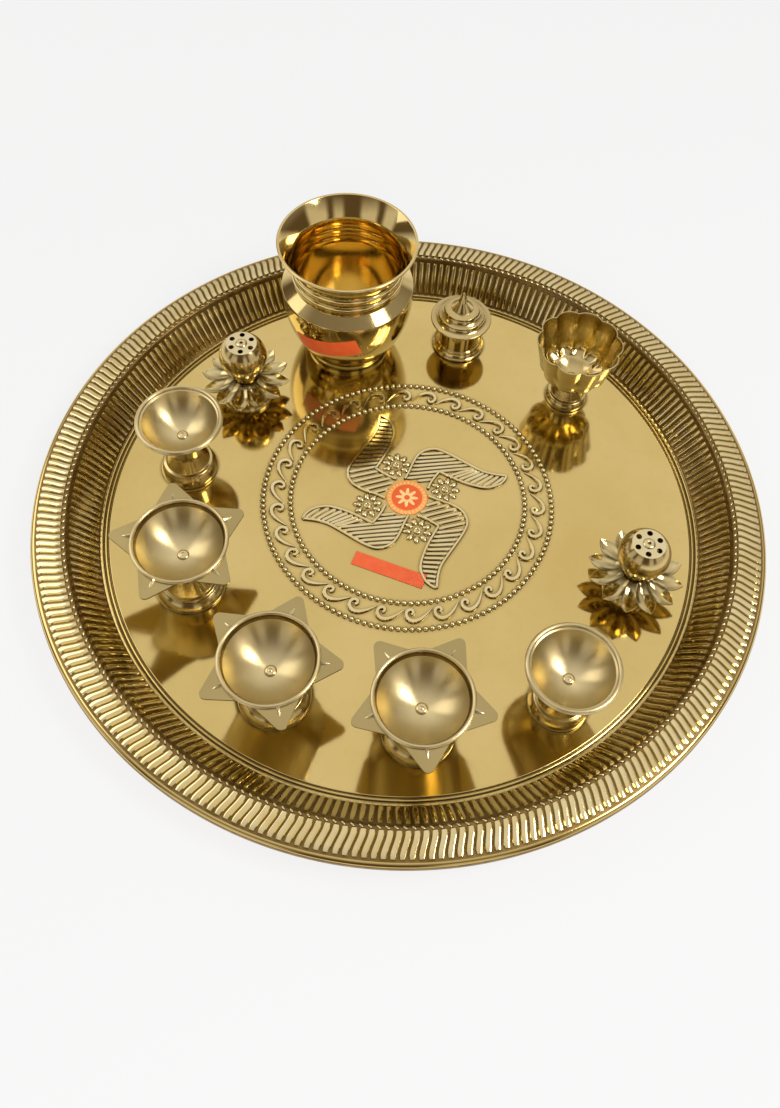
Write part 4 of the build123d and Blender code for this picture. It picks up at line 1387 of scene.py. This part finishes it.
@dataclass(frozen=True)
class RivetShape:
    """Sizes of a round-headed rivet through a bowl and its foot."""

    radius: float = 1.5
    head_r: float = 2.8
    head_h: float = 1.0
    head_round: Point = (0.8, 0.6)  # shares of its radius and height that its curve passes
    head_ring: Points = ((0.5, 1.0), (1.0, 0.78), (1.5, 0.8))  # radius and share of height
    tail_r: float = 2.4
    tail_h: float = 0.8
    tail_in: float = 0.4
    web: float = 1.2
    gap: float = 0.05

    def outline(self, ball_z: float, inner_r: float, outer_r: float) -> Outline:
        """Draw the rivet's half outline, with a small ring on its head.

        Args:
            ball_z: height of the centre of the bowl's curve.
            inner_r: radius inside the bowl.
            outer_r: radius outside the bowl.

        Returns:
            The half outline.
        """
        head_z = on_ball(ball_z, inner_r, self.head_r)[1]
        web_z = on_ball(ball_z, outer_r, self.hole_r())[1] - self.web
        first, second, third = ((r, head_z + self.head_h * share) for r, share in self.head_ring)
        line = Outline((0.0, head_z + self.head_h)).to(first).arc(second, third, 4)
        return self.finish(line, head_z, web_z)

    def finish(self, line: Outline, high: float, low: float) -> Outline:
        """Take an outline over the head's side, down the shank and round the tail.

        Args:
            line: the outline, begun on top of the head.
            high: height of the head's underside.
            low: height of the web that the tail holds.

        Returns:
            The same outline.
        """
        out, up = self.head_round
        line.arc((self.head_r * out, high + self.head_h * up), (self.head_r, high), 6)
        line.to((self.radius, high), (self.radius, low), (self.tail_r, low))
        return line.to((self.tail_r - self.tail_in, low - self.tail_h), (0.0, low - self.tail_h))

    def hole_r(self) -> float:
        """Give the radius of the hole that the rivet passes through."""
        return self.radius + self.gap


@dataclass
class Vessel:
    """What the vessels of several pieces share: one body, and an axis through the foot."""

    groups: Groups
    body: str

    def put(self, work: Mesh, piece: str, node: str, slot: Slot, *kinds: str,
            turn: float = 0.0, over: str = "foot") -> None:
        """Add a piece of the vessel.

        Args:
            work: the mesh, which is used up.
            piece: name of the piece after the body's name.
            node: the CAD node that it replaces, also after the body's name, or nothing.
            slot: the record's material slot, not used.
            kinds: brass finishes in the order of the faces' material numbers.
            turn: how far the piece is turned, in degrees.
            over: the node whose axis it stands on.
        """
        place = standing(axis_of(f"{self.body}_{over}"), turn)
        stands_for = (f"{self.body}_{node}",) if node else ()
        add_piece(work, f"{self.body}_{piece}", self.body, self.groups.brass(*kinds), place, stands_for)


@dataclass
class Lamp(Vessel):
    """What the round-bottomed lamps share: a bowl, its foot and the rivet that joins them."""

    foot: FootShape
    sheet: float = 0.9
    hole_r: float = 1.55
    rivet: RivetShape = RivetShape()

    def sphere(self) -> Point:
        """Give the height of the centre and the radius of the bowl's inside."""
        raise NotImplementedError

    def build_base(self) -> None:
        """Spin the foot and the rivet."""
        ball_z, radius = self.sphere()
        outer = radius + self.sheet
        foot = spun(self.foot.outline(ball_z, outer), 80, 0.15)
        self.put(foot, "spun_foot", "foot", Slot.VESSEL, "turned")
        rivet = spun(self.rivet.outline(ball_z, radius, outer), 32, 0.08)
        self.put(rivet, "round_rivet", "rivet", Slot.RIVET, "rivet")


def bowl_sphere(mouth_r: float, mouth_z: float, bottom_z: float) -> Point:
    """Give the centre height and radius of a ball from a bowl's mouth and bottom."""
    depth = mouth_z - bottom_z
    radius = (mouth_r ** 2 + depth ** 2) / (2 * depth)
    return (bottom_z + radius, radius)


@dataclass
class PlainLamp(Lamp):
    """Oil lamp with a round, stepped rim."""

    rim_r: float = 21.0
    height: float = 40.3
    mouth_r: float = 18.0
    ledge: float = 0.9
    ledge_drop: float = 1.6
    ledge_rise: float = 0.2
    roll: float = 0.5
    roll_end: Points = ((-0.3, -0.6), (0.0, -0.9))  # where the rolled rim ends, from its edge
    depth: float = 13.6
    lip: float = 1.5

    def sphere(self) -> Point:
        """Give the height of the centre and the radius of the bowl's inside."""
        return bowl_sphere(self.mouth_r, self.height - self.ledge_drop, self.height - self.depth)

    def build(self) -> None:
        """Build the lamp."""
        ball_z, radius = self.sphere()
        ledge_z = self.height - self.ledge_drop
        ledge_r = self.mouth_r + self.ledge
        wall_r = ledge_r + self.sheet
        line = Outline(on_ball(ball_z, radius, self.hole_r))
        ball_arc(line, ball_z, radius, self.hole_r, self.mouth_r, 24)
        line.to((ledge_r, ledge_z + self.ledge_rise), (ledge_r, self.height - self.roll))
        start, end = beside((self.rim_r, self.height), self.roll_end)
        line.arc((wall_r, self.height), start, 8).to(end, (self.rim_r, self.height - self.lip))
        line.to((wall_r, self.height - self.lip), (wall_r, ledge_z - self.sheet))
        line.to(on_ball(ball_z, radius + self.sheet, self.mouth_r))
        ball_arc(line, ball_z, radius + self.sheet, self.mouth_r, self.hole_r, 24)
        work = spun(line.close(), 112, 0.12)
        self.put(work, "lamp_bowl", "bowl", Slot.VESSEL, "bowl", over="bowl")
        self.build_base()


@dataclass
class StarLamp(Lamp):
    """Oil lamp with a five-pointed flange, a raised bead and a wick crease at each point."""

    turn: float = 0.0
    points: int = 5
    tip_r: float = 31.8
    waist_r: float = 22.7
    point_half: float = 21.5
    tip_round: float = 2.6
    base_round: float = 7.0
    height: float = 41.0
    bead_out: float = 21.9
    bead_in: float = 20.1
    bead_h: float = 1.3
    depth: float = 14.0
    drawn: float = 0.6  # width of the spun flange that is drawn out to the points
    drawn_rings: Point = (0.35, 0.45)  # rings of points on it
    dark: Point = (0.7, 1.5)  # width and depth of the painted shade line inside the bead
    crease_from: float = -1.2  # where a crease begins, from the bead's outside
    crease_long: float = 4.8
    crease_half: tuple[float, ...] = (0.5, 0.75, 0.8, 0.75, 0.6, 0.45, 0.2)
    crease_high: tuple[float, ...] = (1.25, 1.3, 1.0, 0.8, 0.6, 0.4, 0.15)

    def sphere(self) -> Point:
        """Give the height of the centre and the radius of the bowl's inside."""
        return bowl_sphere(self.bead_in, self.height - self.bead_h, self.height - self.depth)

    def reach(self, angle: float) -> float:
        """Give the distance of the flange's edge from the axis in a direction.

        Args:
            angle: the direction in radians, from the first point.

        Returns:
            The distance in millimetres.
        """
        off = from_nearest(angle, self.points)
        half = radians(self.point_half)
        base = self.waist_r * Vector((cos(half), sin(half)))
        tip_angle = atan2(base.y, self.tip_r - base.x)
        far = self.tip_r + self.tip_round * (1 / sin(tip_angle) - 1)
        side = (base - Vector((far, 0.0))).normalized()
        slant = atan2(side.y, -side.x)
        nose = far - self.tip_round / sin(slant)
        touch = pi / 2 - slant
        if off < atan2(self.tip_round * sin(touch), nose + self.tip_round * cos(touch)):
            return nose * cos(off) + sqrt(self.tip_round ** 2 - (nose * sin(off)) ** 2)
        away = Vector((sin(slant), cos(slant)))
        start = Vector((far, 0.0)) + away * self.base_round
        along = start.dot(side)
        wide = self.waist_r + self.base_round
        blend = start + side * (sqrt(along ** 2 - start.length_squared + wide ** 2) - along)
        foot = blend - away * self.base_round
        if off < atan2(foot.y, foot.x):
            return far * side.y / (cos(off) * side.y - sin(off) * side.x)
        if off < atan2(blend.y, blend.x):
            ahead = blend.dot(Vector((cos(off), sin(off))))
            return ahead - sqrt(max(ahead ** 2 - wide ** 2 + self.base_round ** 2, 0.0))
        return self.waist_r

    def build_bowl(self) -> None:
        """Spin the bowl with its bead, and draw the flange out to its five points."""
        ball_z, radius = self.sphere()
        flange_z = self.height - self.bead_h
        under = self.bead_in - 1.0
        line = Outline(on_ball(ball_z, radius, self.hole_r))
        ball_arc(line, ball_z, radius, self.hole_r, self.bead_in, 24)
        line.arc(((self.bead_in + self.bead_out) / 2, self.height), (self.bead_out, flange_z), 8)
        line.to(*[(self.bead_out + past, flange_z) for past in (*self.drawn_rings, self.drawn)])
        line.to((self.bead_out + self.drawn, flange_z - self.sheet))
        line.to((self.bead_out - self.drawn, flange_z - self.sheet))
        line.to(on_ball(ball_z, radius + self.sheet, under))
        ball_arc(line, ball_z, radius + self.sheet, under, self.hole_r, 24)
        work = spun(line.close(), 200, 0.0)
        for vert in work.verts:
            past = vert.co.xy.length - self.bead_out
            if past > self.drawn / 6:
                edge = self.reach(atan2(vert.co.y, vert.co.x))
                push_out(vert, self.bead_out + (edge - self.bead_out) * min(past / self.drawn, 1.0))
        for face in work.faces:
            middle = face.calc_center_median()
            away = middle.xy.length
            if away > self.bead_out + 0.05:
                face.material_index = 1
            # painted shade: a dark line just inside the bead
            elif self.bead_in - self.dark[0] < away < self.bead_in and middle.z > flange_z - self.dark[1]:
                face.material_index = 2
        self.put(work, "lamp_bowl", "bowl", Slot.STAR, "bowl", "flange", "recess", turn=self.turn)

    def build_creases(self) -> None:
        """Set the small wick crease at each point."""
        work = bmesh.new()
        start, runs = self.bead_out + self.crease_from, len(self.crease_half) - 1
        path = [Vector((start + self.crease_long * step / runs, 0.0, self.height - self.bead_h))
                for step in range(runs + 1)]
        raised_bar(work, path, list(self.crease_half), list(self.crease_high), 6)
        ring_of(work, self.points)
        self.put(work, "wick_creases", "", Slot.STAR, "pale", turn=self.turn)

    def build(self) -> None:
        """Build the lamp."""
        self.build_bowl()
        self.build_creases()
        self.build_base()


@dataclass
class ScallopedCup(Lamp):
    """Deep cup whose leaning lobes run out into a round bottom."""

    height: float = 43.4
    ball_r: float = 19.0
    ball_z: float = 34.5
    lobes: int = 10
    lobe_top: Point = (13.8, 8.7)
    lobe_low: Point = (11.3, 7.1)
    lobe_low_z: float = 26.6
    round_r: float = 9.5
    core_r: float = 19.8
    core_z: float = 31.5
    turn: float = 1.0
    rows: int = 24  # rows of faces up the side
    marks: Point = (30.0, 40.0)  # radii that mark the inside and the outside until they are shaped
    inset_share: float = 0.65  # share of the sheet's thickness between them

    def sphere(self) -> Point:
        """Give the height of the centre and the radius of the cup's inside."""
        return (self.ball_z, self.ball_r - self.sheet)

    def reach(self, angle: float, z: float, inset: float) -> float:
        """Give the distance of the cup's side from the axis.

        Args:
            angle: direction in radians.
            z: height.
            inset: how far inside the outer side.

        Returns:
            The distance from the axis.
        """
        off = from_nearest(angle, self.lobes)
        ball = self.ball_r - inset
        core_low = sqrt(ball ** 2 - (self.ball_z - self.core_z) ** 2)
        if z <= self.core_z:
            core = sqrt(max(ball ** 2 - (self.ball_z - z) ** 2, 0.0))
        else:
            climb = (z - self.core_z) / (self.height - self.core_z)
            core = core_low + (self.core_r - inset - core_low) * climb
        share = (z - self.lobe_low_z) / (self.height - self.lobe_low_z)
        middle = self.lobe_low[0] + (self.lobe_top[0] - self.lobe_low[0]) * share
        size = self.lobe_low[1] + (self.lobe_top[1] - self.lobe_low[1]) * share - inset
        if share < 0.0:
            middle = self.lobe_low[0]
            size = sqrt(max((self.lobe_low[1] - inset) ** 2 - (self.lobe_low_z - z) ** 2, 0.0))
        room = size ** 2 - (middle * sin(off)) ** 2
        lobe = middle * cos(off) + sqrt(room) if room > 0.0 else 0.0
        return max(core, lobe)

    def build(self) -> None:
        """Build the cup."""
        inner = self.ball_r - self.sheet
        line = Outline(on_ball(self.ball_z, inner, self.hole_r))
        ball_arc(line, self.ball_z, inner, self.hole_r, self.round_r, 12)
        start = line.points[-1].y
        inside, outside = self.marks
        rise = (self.height - start) / self.rows
        line.to(*[(inside, start + rise * step) for step in range(1, self.rows + 1)])
        line.to(*[(outside, self.height - rise * step) for step in range(self.rows)])
        line.to(on_ball(self.ball_z, self.ball_r, self.round_r))
        ball_arc(line, self.ball_z, self.ball_r, self.round_r, self.hole_r, 12)
        work = spun(line.close(), self.lobes * 16, 0.0)
        for vert in work.verts:
            away = vert.co.xy.length
            if away > inside - 1.0:
                inset = self.sheet * self.inset_share if away < inside + 1.0 else 0.0
                push_out(vert, self.reach(atan2(vert.co.y, vert.co.x), vert.co.z, inset))
        soften(work, edge=0.25, sharp=60.0)
        add_piece(work, "scalloped_bowl", self.body, self.groups.brass("turned"),
                  standing(axis_of(f"{self.body}_foot"), self.turn), (f"{self.body}_bowl",))
        self.build_base()


@dataclass
class IncenseStand(Vessel):
    """Incense stand: bell foot, lotus of petals, collar, pierced ball and its long rivet."""

    turn: float
    hole_turn: float
    ball_r: float = 12.2
    ball_z: float = 31.6
    disc_r: float = 7.8
    seat_r: float = 5.2
    shell: float = 1.0
    holes: int = 6
    hole_r: float = 1.35
    hole_ring: float = 5.6
    rivet: RivetShape = RivetShape(head_r=3.0, head_h=0.6, head_round=(0.8, 0.8))
    bore: float = 0.8
    collar_r: float = 6.3
    collar_waist: float = 0.5
    hub_r: float = 7.6
    hub_z: float = 14.2
    hub_t: float = 1.0
    petals: int = 12
    tip_r: float = 22.8
    petal_half: float = 4.4
    petal_half_r: float = 15.2
    root_gap: float = 0.4
    root_half: float = 1.9
    dip: float = 1.9
    along: float = 15.0
    across: float = 8.5
    fold: float = 0.4
    petal_sheet: float = 0.6
    petal_point: float = 2.2  # how late a petal narrows to its point
    petal_tip: float = 0.12  # half the width of the point
    foot_r: float = 13.5
    foot_step: Point = (10.6, 4.4)
    foot_waist: Point = (5.6, 10.4)
    foot_seat: float = 6.8
    foot_edge: float = 1.5
    foot_sag: Point = (0.7, 0.2)  # how full the skirt and the neck are
    foot_ledge: Point = (-0.9, 0.5)  # from the foot's step
    foot_sheet: float = 1.0

    def flat_z(self) -> float:
        """Give the height of the flat under the ball."""
        return on_ball(self.ball_z, self.ball_r, self.seat_r)[1]

    def top_z(self) -> float:
        """Give the height of the pierced disc."""
        return self.ball_z + sqrt(self.ball_r ** 2 - self.disc_r ** 2)

    def rim_r(self, radius: float, z: float) -> float:
        """Give the distance from the axis at a height on a ball about the ball's middle."""
        return sqrt(radius ** 2 - (z - self.ball_z) ** 2)

    def build_foot(self) -> None:
        """Spin the bell foot."""
        step_r, step_z = self.foot_step
        waist_r, waist_z = self.foot_waist
        ledge_r, ledge_z = step_r + self.foot_ledge[0], step_z + self.foot_ledge[1]
        inner_r = waist_r - self.foot_sheet
        hole = self.rivet.hole_r()
        web_z = self.hub_z - self.rivet.web
        line = Outline((self.foot_r, 0.0)).to((self.foot_r, self.foot_edge))
        skirt_r = step_r + (self.foot_r - step_r) * self.foot_sag[0]
        neck_r = waist_r + (step_r - waist_r) * self.foot_sag[1]
        line.arc((skirt_r, (self.foot_edge + step_z) / 2), self.foot_step, 8).to((ledge_r, ledge_z))
        line.arc((neck_r, (step_z + waist_z) / 2), self.foot_waist, 8)
        line.to((self.foot_seat, web_z), (self.foot_seat, self.hub_z), (hole, self.hub_z), (hole, web_z))
        line.to((inner_r, web_z), (inner_r, waist_z - self.foot_sheet))
        line.to((ledge_r - self.foot_sheet, ledge_z - self.foot_sheet))
        line.to((self.foot_r - self.foot_sheet, self.foot_edge), (self.foot_r - self.foot_sheet, 0.0))
        self.put(spun(line.close(), 72, 0.15), "bell_foot", "foot", Slot.VESSEL, "turned")

    def build_petals(self) -> None:
        """Shape one cupped petal and set it round the hub."""
        work = bmesh.new()
        bmesh.ops.create_grid(work, x_segments=12, y_segments=8, size=0.5)
        low = self.hub_z + self.hub_t - self.dip
        root_r = self.collar_r + self.root_gap
        for vert in work.verts:
            share = vert.co.x + 0.5
            side = vert.co.y * 2
            r = root_r + (self.tip_r - root_r) * share
            if r < self.petal_half_r:
                ease = (r - root_r) / (self.petal_half_r - root_r)
                half = self.root_half + (self.petal_half - self.root_half) * ease
            else:
                ease = (r - self.petal_half_r) / (self.tip_r - self.petal_half_r)
                half = self.petal_half * (1 - ease ** self.petal_point) + self.petal_tip
            y = side * half
            lift = self.along - sqrt(self.along ** 2 - (r - self.petal_half_r) ** 2)
            cup = self.across - sqrt(max(self.across ** 2 - y ** 2, 0.0))
            fold = self.fold * abs(side) * half / self.petal_half
            vert.co = (r, y, low + lift + cup + fold)
        thicken(work, Vector((0.0, 0.0, 1.0)), self.petal_sheet)
        soften(work, edge=0.22, sharp=50.0)
        ring_of(work, self.petals)
        hole = self.rivet.hole_r()
        hub_top = self.hub_z + self.hub_t
        hub = Outline((hole, self.hub_z)).to((self.hub_r, self.hub_z), (self.hub_r, hub_top), (hole, hub_top))
        join(work, spun(hub.close(), 48, 0.1))
        self.put(work, "lotus", "petals", Slot.PETAL, "petal", turn=self.turn)

    def build_collar(self) -> None:
        """Spin the collar."""
        low, high = self.hub_z + self.hub_t, self.flat_z()
        hole = self.rivet.hole_r()
        line = Outline((hole, low)).to((self.collar_r, low))
        line.arc((self.collar_r - self.collar_waist, (low + high) / 2), (self.collar_r, high), 8)
        line.to((hole, high))
        self.put(spun(line.close(), 56, 0.12), "waisted_collar", "collar", Slot.VESSEL, "polished")

    def pierced_disc(self, radius: float, z: float, deep: float) -> Mesh:
        """Make a level disc with a hole for the rivet and a ring of holes for sticks.

        Args:
            radius: the disc's radius.
            z: its height.
            deep: how deep the walls of its holes are, nought if it has none.

        Returns:
            The new mesh.
        """
        disc = bmesh.new()
        bmesh.ops.create_circle(disc, cap_ends=False, segments=72, radius=radius)
        bmesh.ops.create_circle(disc, cap_ends=False, segments=24, radius=self.rivet.hole_r())
        for k in range(self.holes):
            turn = radians(self.hole_turn) + tau * k / self.holes
            spot = Matrix.Translation((self.hole_ring * cos(turn), self.hole_ring * sin(turn), 0.0))
            bmesh.ops.create_circle(disc, cap_ends=False, segments=20, radius=self.hole_r, matrix=spot)
        bmesh.ops.triangle_fill(disc, use_beauty=True, use_dissolve=False, edges=disc.edges[:])
        bmesh.ops.translate(disc, vec=(0.0, 0.0, z), verts=disc.verts[:])
        if deep:
            walls = [e for e in disc.edges if e.is_boundary
                     and (e.verts[0].co + e.verts[1].co).xy.length / 2 < radius - 0.5]
            made = bmesh.ops.extrude_edge_only(disc, edges=walls)["geom"]
            sunk = [g for g in made if isinstance(g, bmesh.types.BMVert)]
            bmesh.ops.translate(disc, vec=(0.0, 0.0, -deep), verts=sunk)
        return disc

    def build_ball(self) -> None:
        """Spin the hollow ball and close it with a pierced disc."""
        high, low = self.top_z(), self.flat_z()
        hole = self.rivet.hole_r()
        inner = self.ball_r - self.shell
        inner_low, inner_high = low + self.shell, high - self.shell
        line = Outline((hole, inner_low)).to((hole, low), (self.seat_r, low))
        line.arc((self.ball_r, self.ball_z), (self.disc_r, high), 24)
        work = spun(line, 72, 0.0)
        inner_r = self.rim_r(inner, inner_high)
        inside = Outline((hole, inner_low)).to((self.rim_r(inner, inner_low), inner_low))
        inside.arc((inner, self.ball_z), (inner_r, inner_high), 16)
        join(work, spun(inside, 72, 0.0))
        join(work, self.pierced_disc(self.disc_r, high, high - inner_high))
        join(work, self.pierced_disc(inner_r, inner_high, 0.0))
        bmesh.ops.remove_doubles(work, verts=work.verts[:], dist=10 * SAME_SPOT)
        bmesh.ops.recalc_face_normals(work, faces=work.faces[:])
        for face in work.faces:
            face.material_index = 1 if face.calc_center_median().z > high - 0.05 else 0
        self.put(work, "pierced_ball", "ball", Slot.VESSEL, "turned", "pale")

    def build_rivet(self) -> None:
        """Spin the long rivet with its hollow head."""
        high = self.top_z()
        line = Outline((0.0, high - 2 * self.shell)).to((self.bore, high - 2 * self.shell))
        line.to((self.bore, high + self.rivet.head_h))
        self.rivet.finish(line, high, self.hub_z - self.rivet.web)
        self.put(spun(line, 32, 0.06), "long_rivet", "rivet", Slot.RIVET, "rivet")

    def build(self) -> None:
        """Build the stand."""
        self.build_foot()
        self.build_petals()
        self.build_collar()
        self.build_ball()
        self.build_rivet()


@dataclass(frozen=True)
class SoftLamp:
    """A soft lamp that faces the tray's middle, with its sizes in metres."""

    name: str
    spot: Triple
    size: Point
    power: float  # watts
    mirrored: bool = True  # whether glossy pieces show the lamp itself


@dataclass
class Studio:
    """Pale floor, soft lights and the camera of the photograph."""

    focal_px: float = 1000.0
    wide_px: float = 780.0
    high_px: float = 1108.0
    middle_px: Point = (416.3, 497.1)
    elevation: float = 56.9
    roll: float = 5.5
    distance: float = 505.6
    aside: Point = (5.9, 7.1)
    sensor: float = 36.0
    nearest: float = 0.01
    soft_way: Triple = (0.0, 0.42, 0.907)  # middle of the large soft light overhead
    soft_fade: Point = (0.40, 0.96)  # how straight on it is seen where it begins and is full
    panels: Points = ((-162.0, -130.0), (-86.0, -58.0), (-52.0, -15.0), (11.0, 36.0), (41.0, 84.0),
                      (130.0, 162.0))  # upright panels, degrees from the viewer
    panel_foot: Point = (0.02, 0.12)  # heights of the view between which the panels begin
    panel_top: Point = (0.50, 0.74)  # and between which they end
    panel_fade: float = 0.12  # radians over which their sides fade
    panel_light: float = 0.75
    haze: Point = (0.05, 0.20)  # heights of the view between which the pale horizon fades
    dark: Colour = (0.10, 0.074, 0.045, 1)
    bright: Colour = (0.78, 0.78, 0.78, 1)
    floor_half: float = 20.0  # metres
    floor_tone: Colour = (0.9, 0.9, 0.9, 1)
    floor_glow: Colour = (0.92, 0.92, 0.92, 1)
    glow_share: float = 0.85  # how much of the floor's look is its own glow
    lamps: tuple[SoftLamp, ...] = (SoftLamp("key", (0.70, -0.13, 0.97), (0.38, 0.38), 4.4),
                                   SoftLamp("fill", (-0.85, 0.24, 0.80), (0.6, 0.8), 1.7),
                                   SoftLamp("front", (0.13, -1.04, 0.77), (0.8, 0.6), 9.0, mirrored=False))

    def build_camera(self) -> None:
        """Set the camera."""
        rise, roll = radians(self.elevation), radians(self.roll)
        back = Vector((0.0, -cos(rise), sin(rise)))
        right = Vector((1.0, 0.0, 0.0))
        up = back.cross(right)
        spot = back * self.distance + right * self.aside[0] + up * self.aside[1]
        spot.z += FLOOR_TOP
        side = right * cos(roll) + up * sin(roll)
        head = up * cos(roll) - right * sin(roll)
        data = bpy.data.cameras.new("camera")
        data.sensor_fit = "AUTO"
        data.sensor_width = self.sensor
        data.lens = self.focal_px / self.high_px * self.sensor
        data.shift_x = (self.wide_px / 2 - self.middle_px[0]) / self.high_px
        data.shift_y = (self.middle_px[1] - self.high_px / 2) / self.high_px
        data.clip_start = self.nearest
        camera = bpy.data.objects.new("camera", data)
        turn = Matrix((side, head, back)).transposed().to_4x4()
        camera.matrix_world = Matrix.Translation(spot * MM) @ turn
        bpy.context.scene.collection.objects.link(camera)
        bpy.context.scene.camera = camera

    def build_floor(self) -> None:
        """Lay the pale floor."""
        work = bmesh.new()
        bmesh.ops.create_grid(work, x_segments=2, y_segments=2, size=self.floor_half)
        mesh = bpy.data.meshes.new("pale_floor")
        work.to_mesh(mesh)
        work.free()
        made = bpy.data.materials.new("pale floor")
        made.use_nodes = True
        sheet = NodeSheet(made.node_tree)
        sink = sheet.add("ShaderNodeOutputMaterial")
        matt = sheet.add("ShaderNodeBsdfDiffuse")
        matt.inputs["Color"].default_value = self.floor_tone
        glow = sheet.add("ShaderNodeEmission")
        glow.inputs["Color"].default_value = self.floor_glow
        light = sheet.add("ShaderNodeLightPath")
        seen = sheet.math("MAXIMUM", light.outputs["Is Camera Ray"], light.outputs["Is Glossy Ray"])
        seen = sheet.math("MAXIMUM", seen, light.outputs["Is Transmission Ray"])
        mix = sheet.add("ShaderNodeMixShader")
        share = sheet.math("MULTIPLY", seen, self.glow_share)
        for socket, value in zip(mix.inputs, (share, matt.outputs[0], glow.outputs[0])):
            sheet.feed(socket, value)
        sheet.feed(sink.inputs["Surface"], mix.outputs[0])
        mesh.materials.append(made)
        floor = bpy.data.objects.new("pale_floor", mesh)
        bpy.context.scene.collection.objects.link(floor)

    def build_world(self) -> None:
        """Fill the surroundings with a soft light overhead, upright panels and a pale horizon."""
        world = bpy.data.worlds.new("studio")
        world.use_nodes = True
        bpy.context.scene.world = world
        sheet = NodeSheet(world.node_tree)
        sink = sheet.add("ShaderNodeOutputWorld")
        sky = sheet.add("ShaderNodeBackground")
        sheet.feed(sink.inputs["Surface"], sky.outputs[0])
        way = sheet.add("ShaderNodeTexCoord").outputs["Generated"]
        facing = sheet.add("ShaderNodeVectorMath", operation="DOT_PRODUCT")
        sheet.feed(facing.inputs[0], way)
        facing.inputs[1].default_value = self.soft_way
        share = sheet.spread(facing.outputs["Value"], *self.soft_fade, 0.0, 1.0)
        parts = sheet.add("ShaderNodeSeparateXYZ")
        sheet.feed(parts.inputs[0], way)
        x, y, z = parts.outputs
        turn = sheet.math("ARCTAN2", x, sheet.math("MULTIPLY", y, -1.0))
        stripes: object = 0.0
        for start, end in self.panels:
            near, far = radians(start), radians(end)
            stripe = sheet.math("MULTIPLY", sheet.spread(turn, near, near + self.panel_fade, 0.0, 1.0),
                                sheet.spread(turn, far - self.panel_fade, far, 1.0, 0.0))
            stripes = sheet.math("ADD", stripes, stripe)
        tall = sheet.math("MULTIPLY", sheet.spread(z, *self.panel_foot, 0.0, 1.0),
                          sheet.spread(z, *self.panel_top, 1.0, 0.0))
        stripes = sheet.math("MULTIPLY", sheet.math("MULTIPLY", stripes, tall), self.panel_light)
        share = sheet.math("MAXIMUM", share, stripes)
        share = sheet.math("MAXIMUM", share, sheet.spread(z, *self.haze, 1.0, 0.0))
        sheet.feed(sky.inputs["Color"], sheet.blend(share, self.dark, self.bright))

    def hang(self, lamp: SoftLamp) -> None:
        """Hang one soft lamp.

        Args:
            lamp: the lamp.
        """
        data = bpy.data.lights.new(lamp.name, "AREA")
        data.shape = "RECTANGLE"
        data.size, data.size_y = lamp.size
        data.energy = lamp.power
        hung = bpy.data.objects.new(lamp.name, data)
        hung.location = lamp.spot
        hung.rotation_euler = Vector(lamp.spot).to_track_quat("Z", "Y").to_euler()
        hung.visible_glossy = lamp.mirrored
        bpy.context.scene.collection.objects.link(hung)

    def build(self) -> None:
        """Build the studio."""
        self.build_camera()
        self.build_floor()
        self.build_world()
        for lamp in self.lamps:
            self.hang(lamp)
        bpy.context.scene.view_settings.view_transform = "Standard"


def main() -> None:
    """Build the whole thali and its studio."""
    logging.basicConfig(level=logging.INFO, format="%(name)s: %(message)s")
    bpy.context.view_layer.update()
    groups = Groups()
    star_foot = FootShape(base_r=16.6, step=(13.4, 6.4), waist=(8.0, 15.0), seat_r=9.0)
    plain_foot = FootShape(base_r=14.1, step=(12.2, 7.2), waist=(7.6, 15.0), seat_r=8.6)
    cup_foot = FootShape(base_r=11.4, step=(10.4, 5.2), waist=(6.6, 10.6), seat_r=7.6)
    Tray(groups).build()
    Medallion(groups).build()
    Labels().build()
    Kalash(groups).build()
    KumkumBox(groups).build()
    ScallopedCup(groups, "cup", cup_foot, sheet=1.0).build()
    for body in ("diya_left", "diya_right"):
        PlainLamp(groups, body, plain_foot).build()
    for body, turn in (("star_a", 36.0), ("star_b", 1.2), ("star_c", 62.2)):
        StarLamp(groups, body, star_foot, turn=turn).build()
    for body, turn, hole_turn in (("incense_left", 0.0, 35.0), ("incense_right", 16.0, 24.0)):
        IncenseStand(groups, body, turn, hole_turn).build()
    Studio().build()


if __name__ == "__main__":
    main()
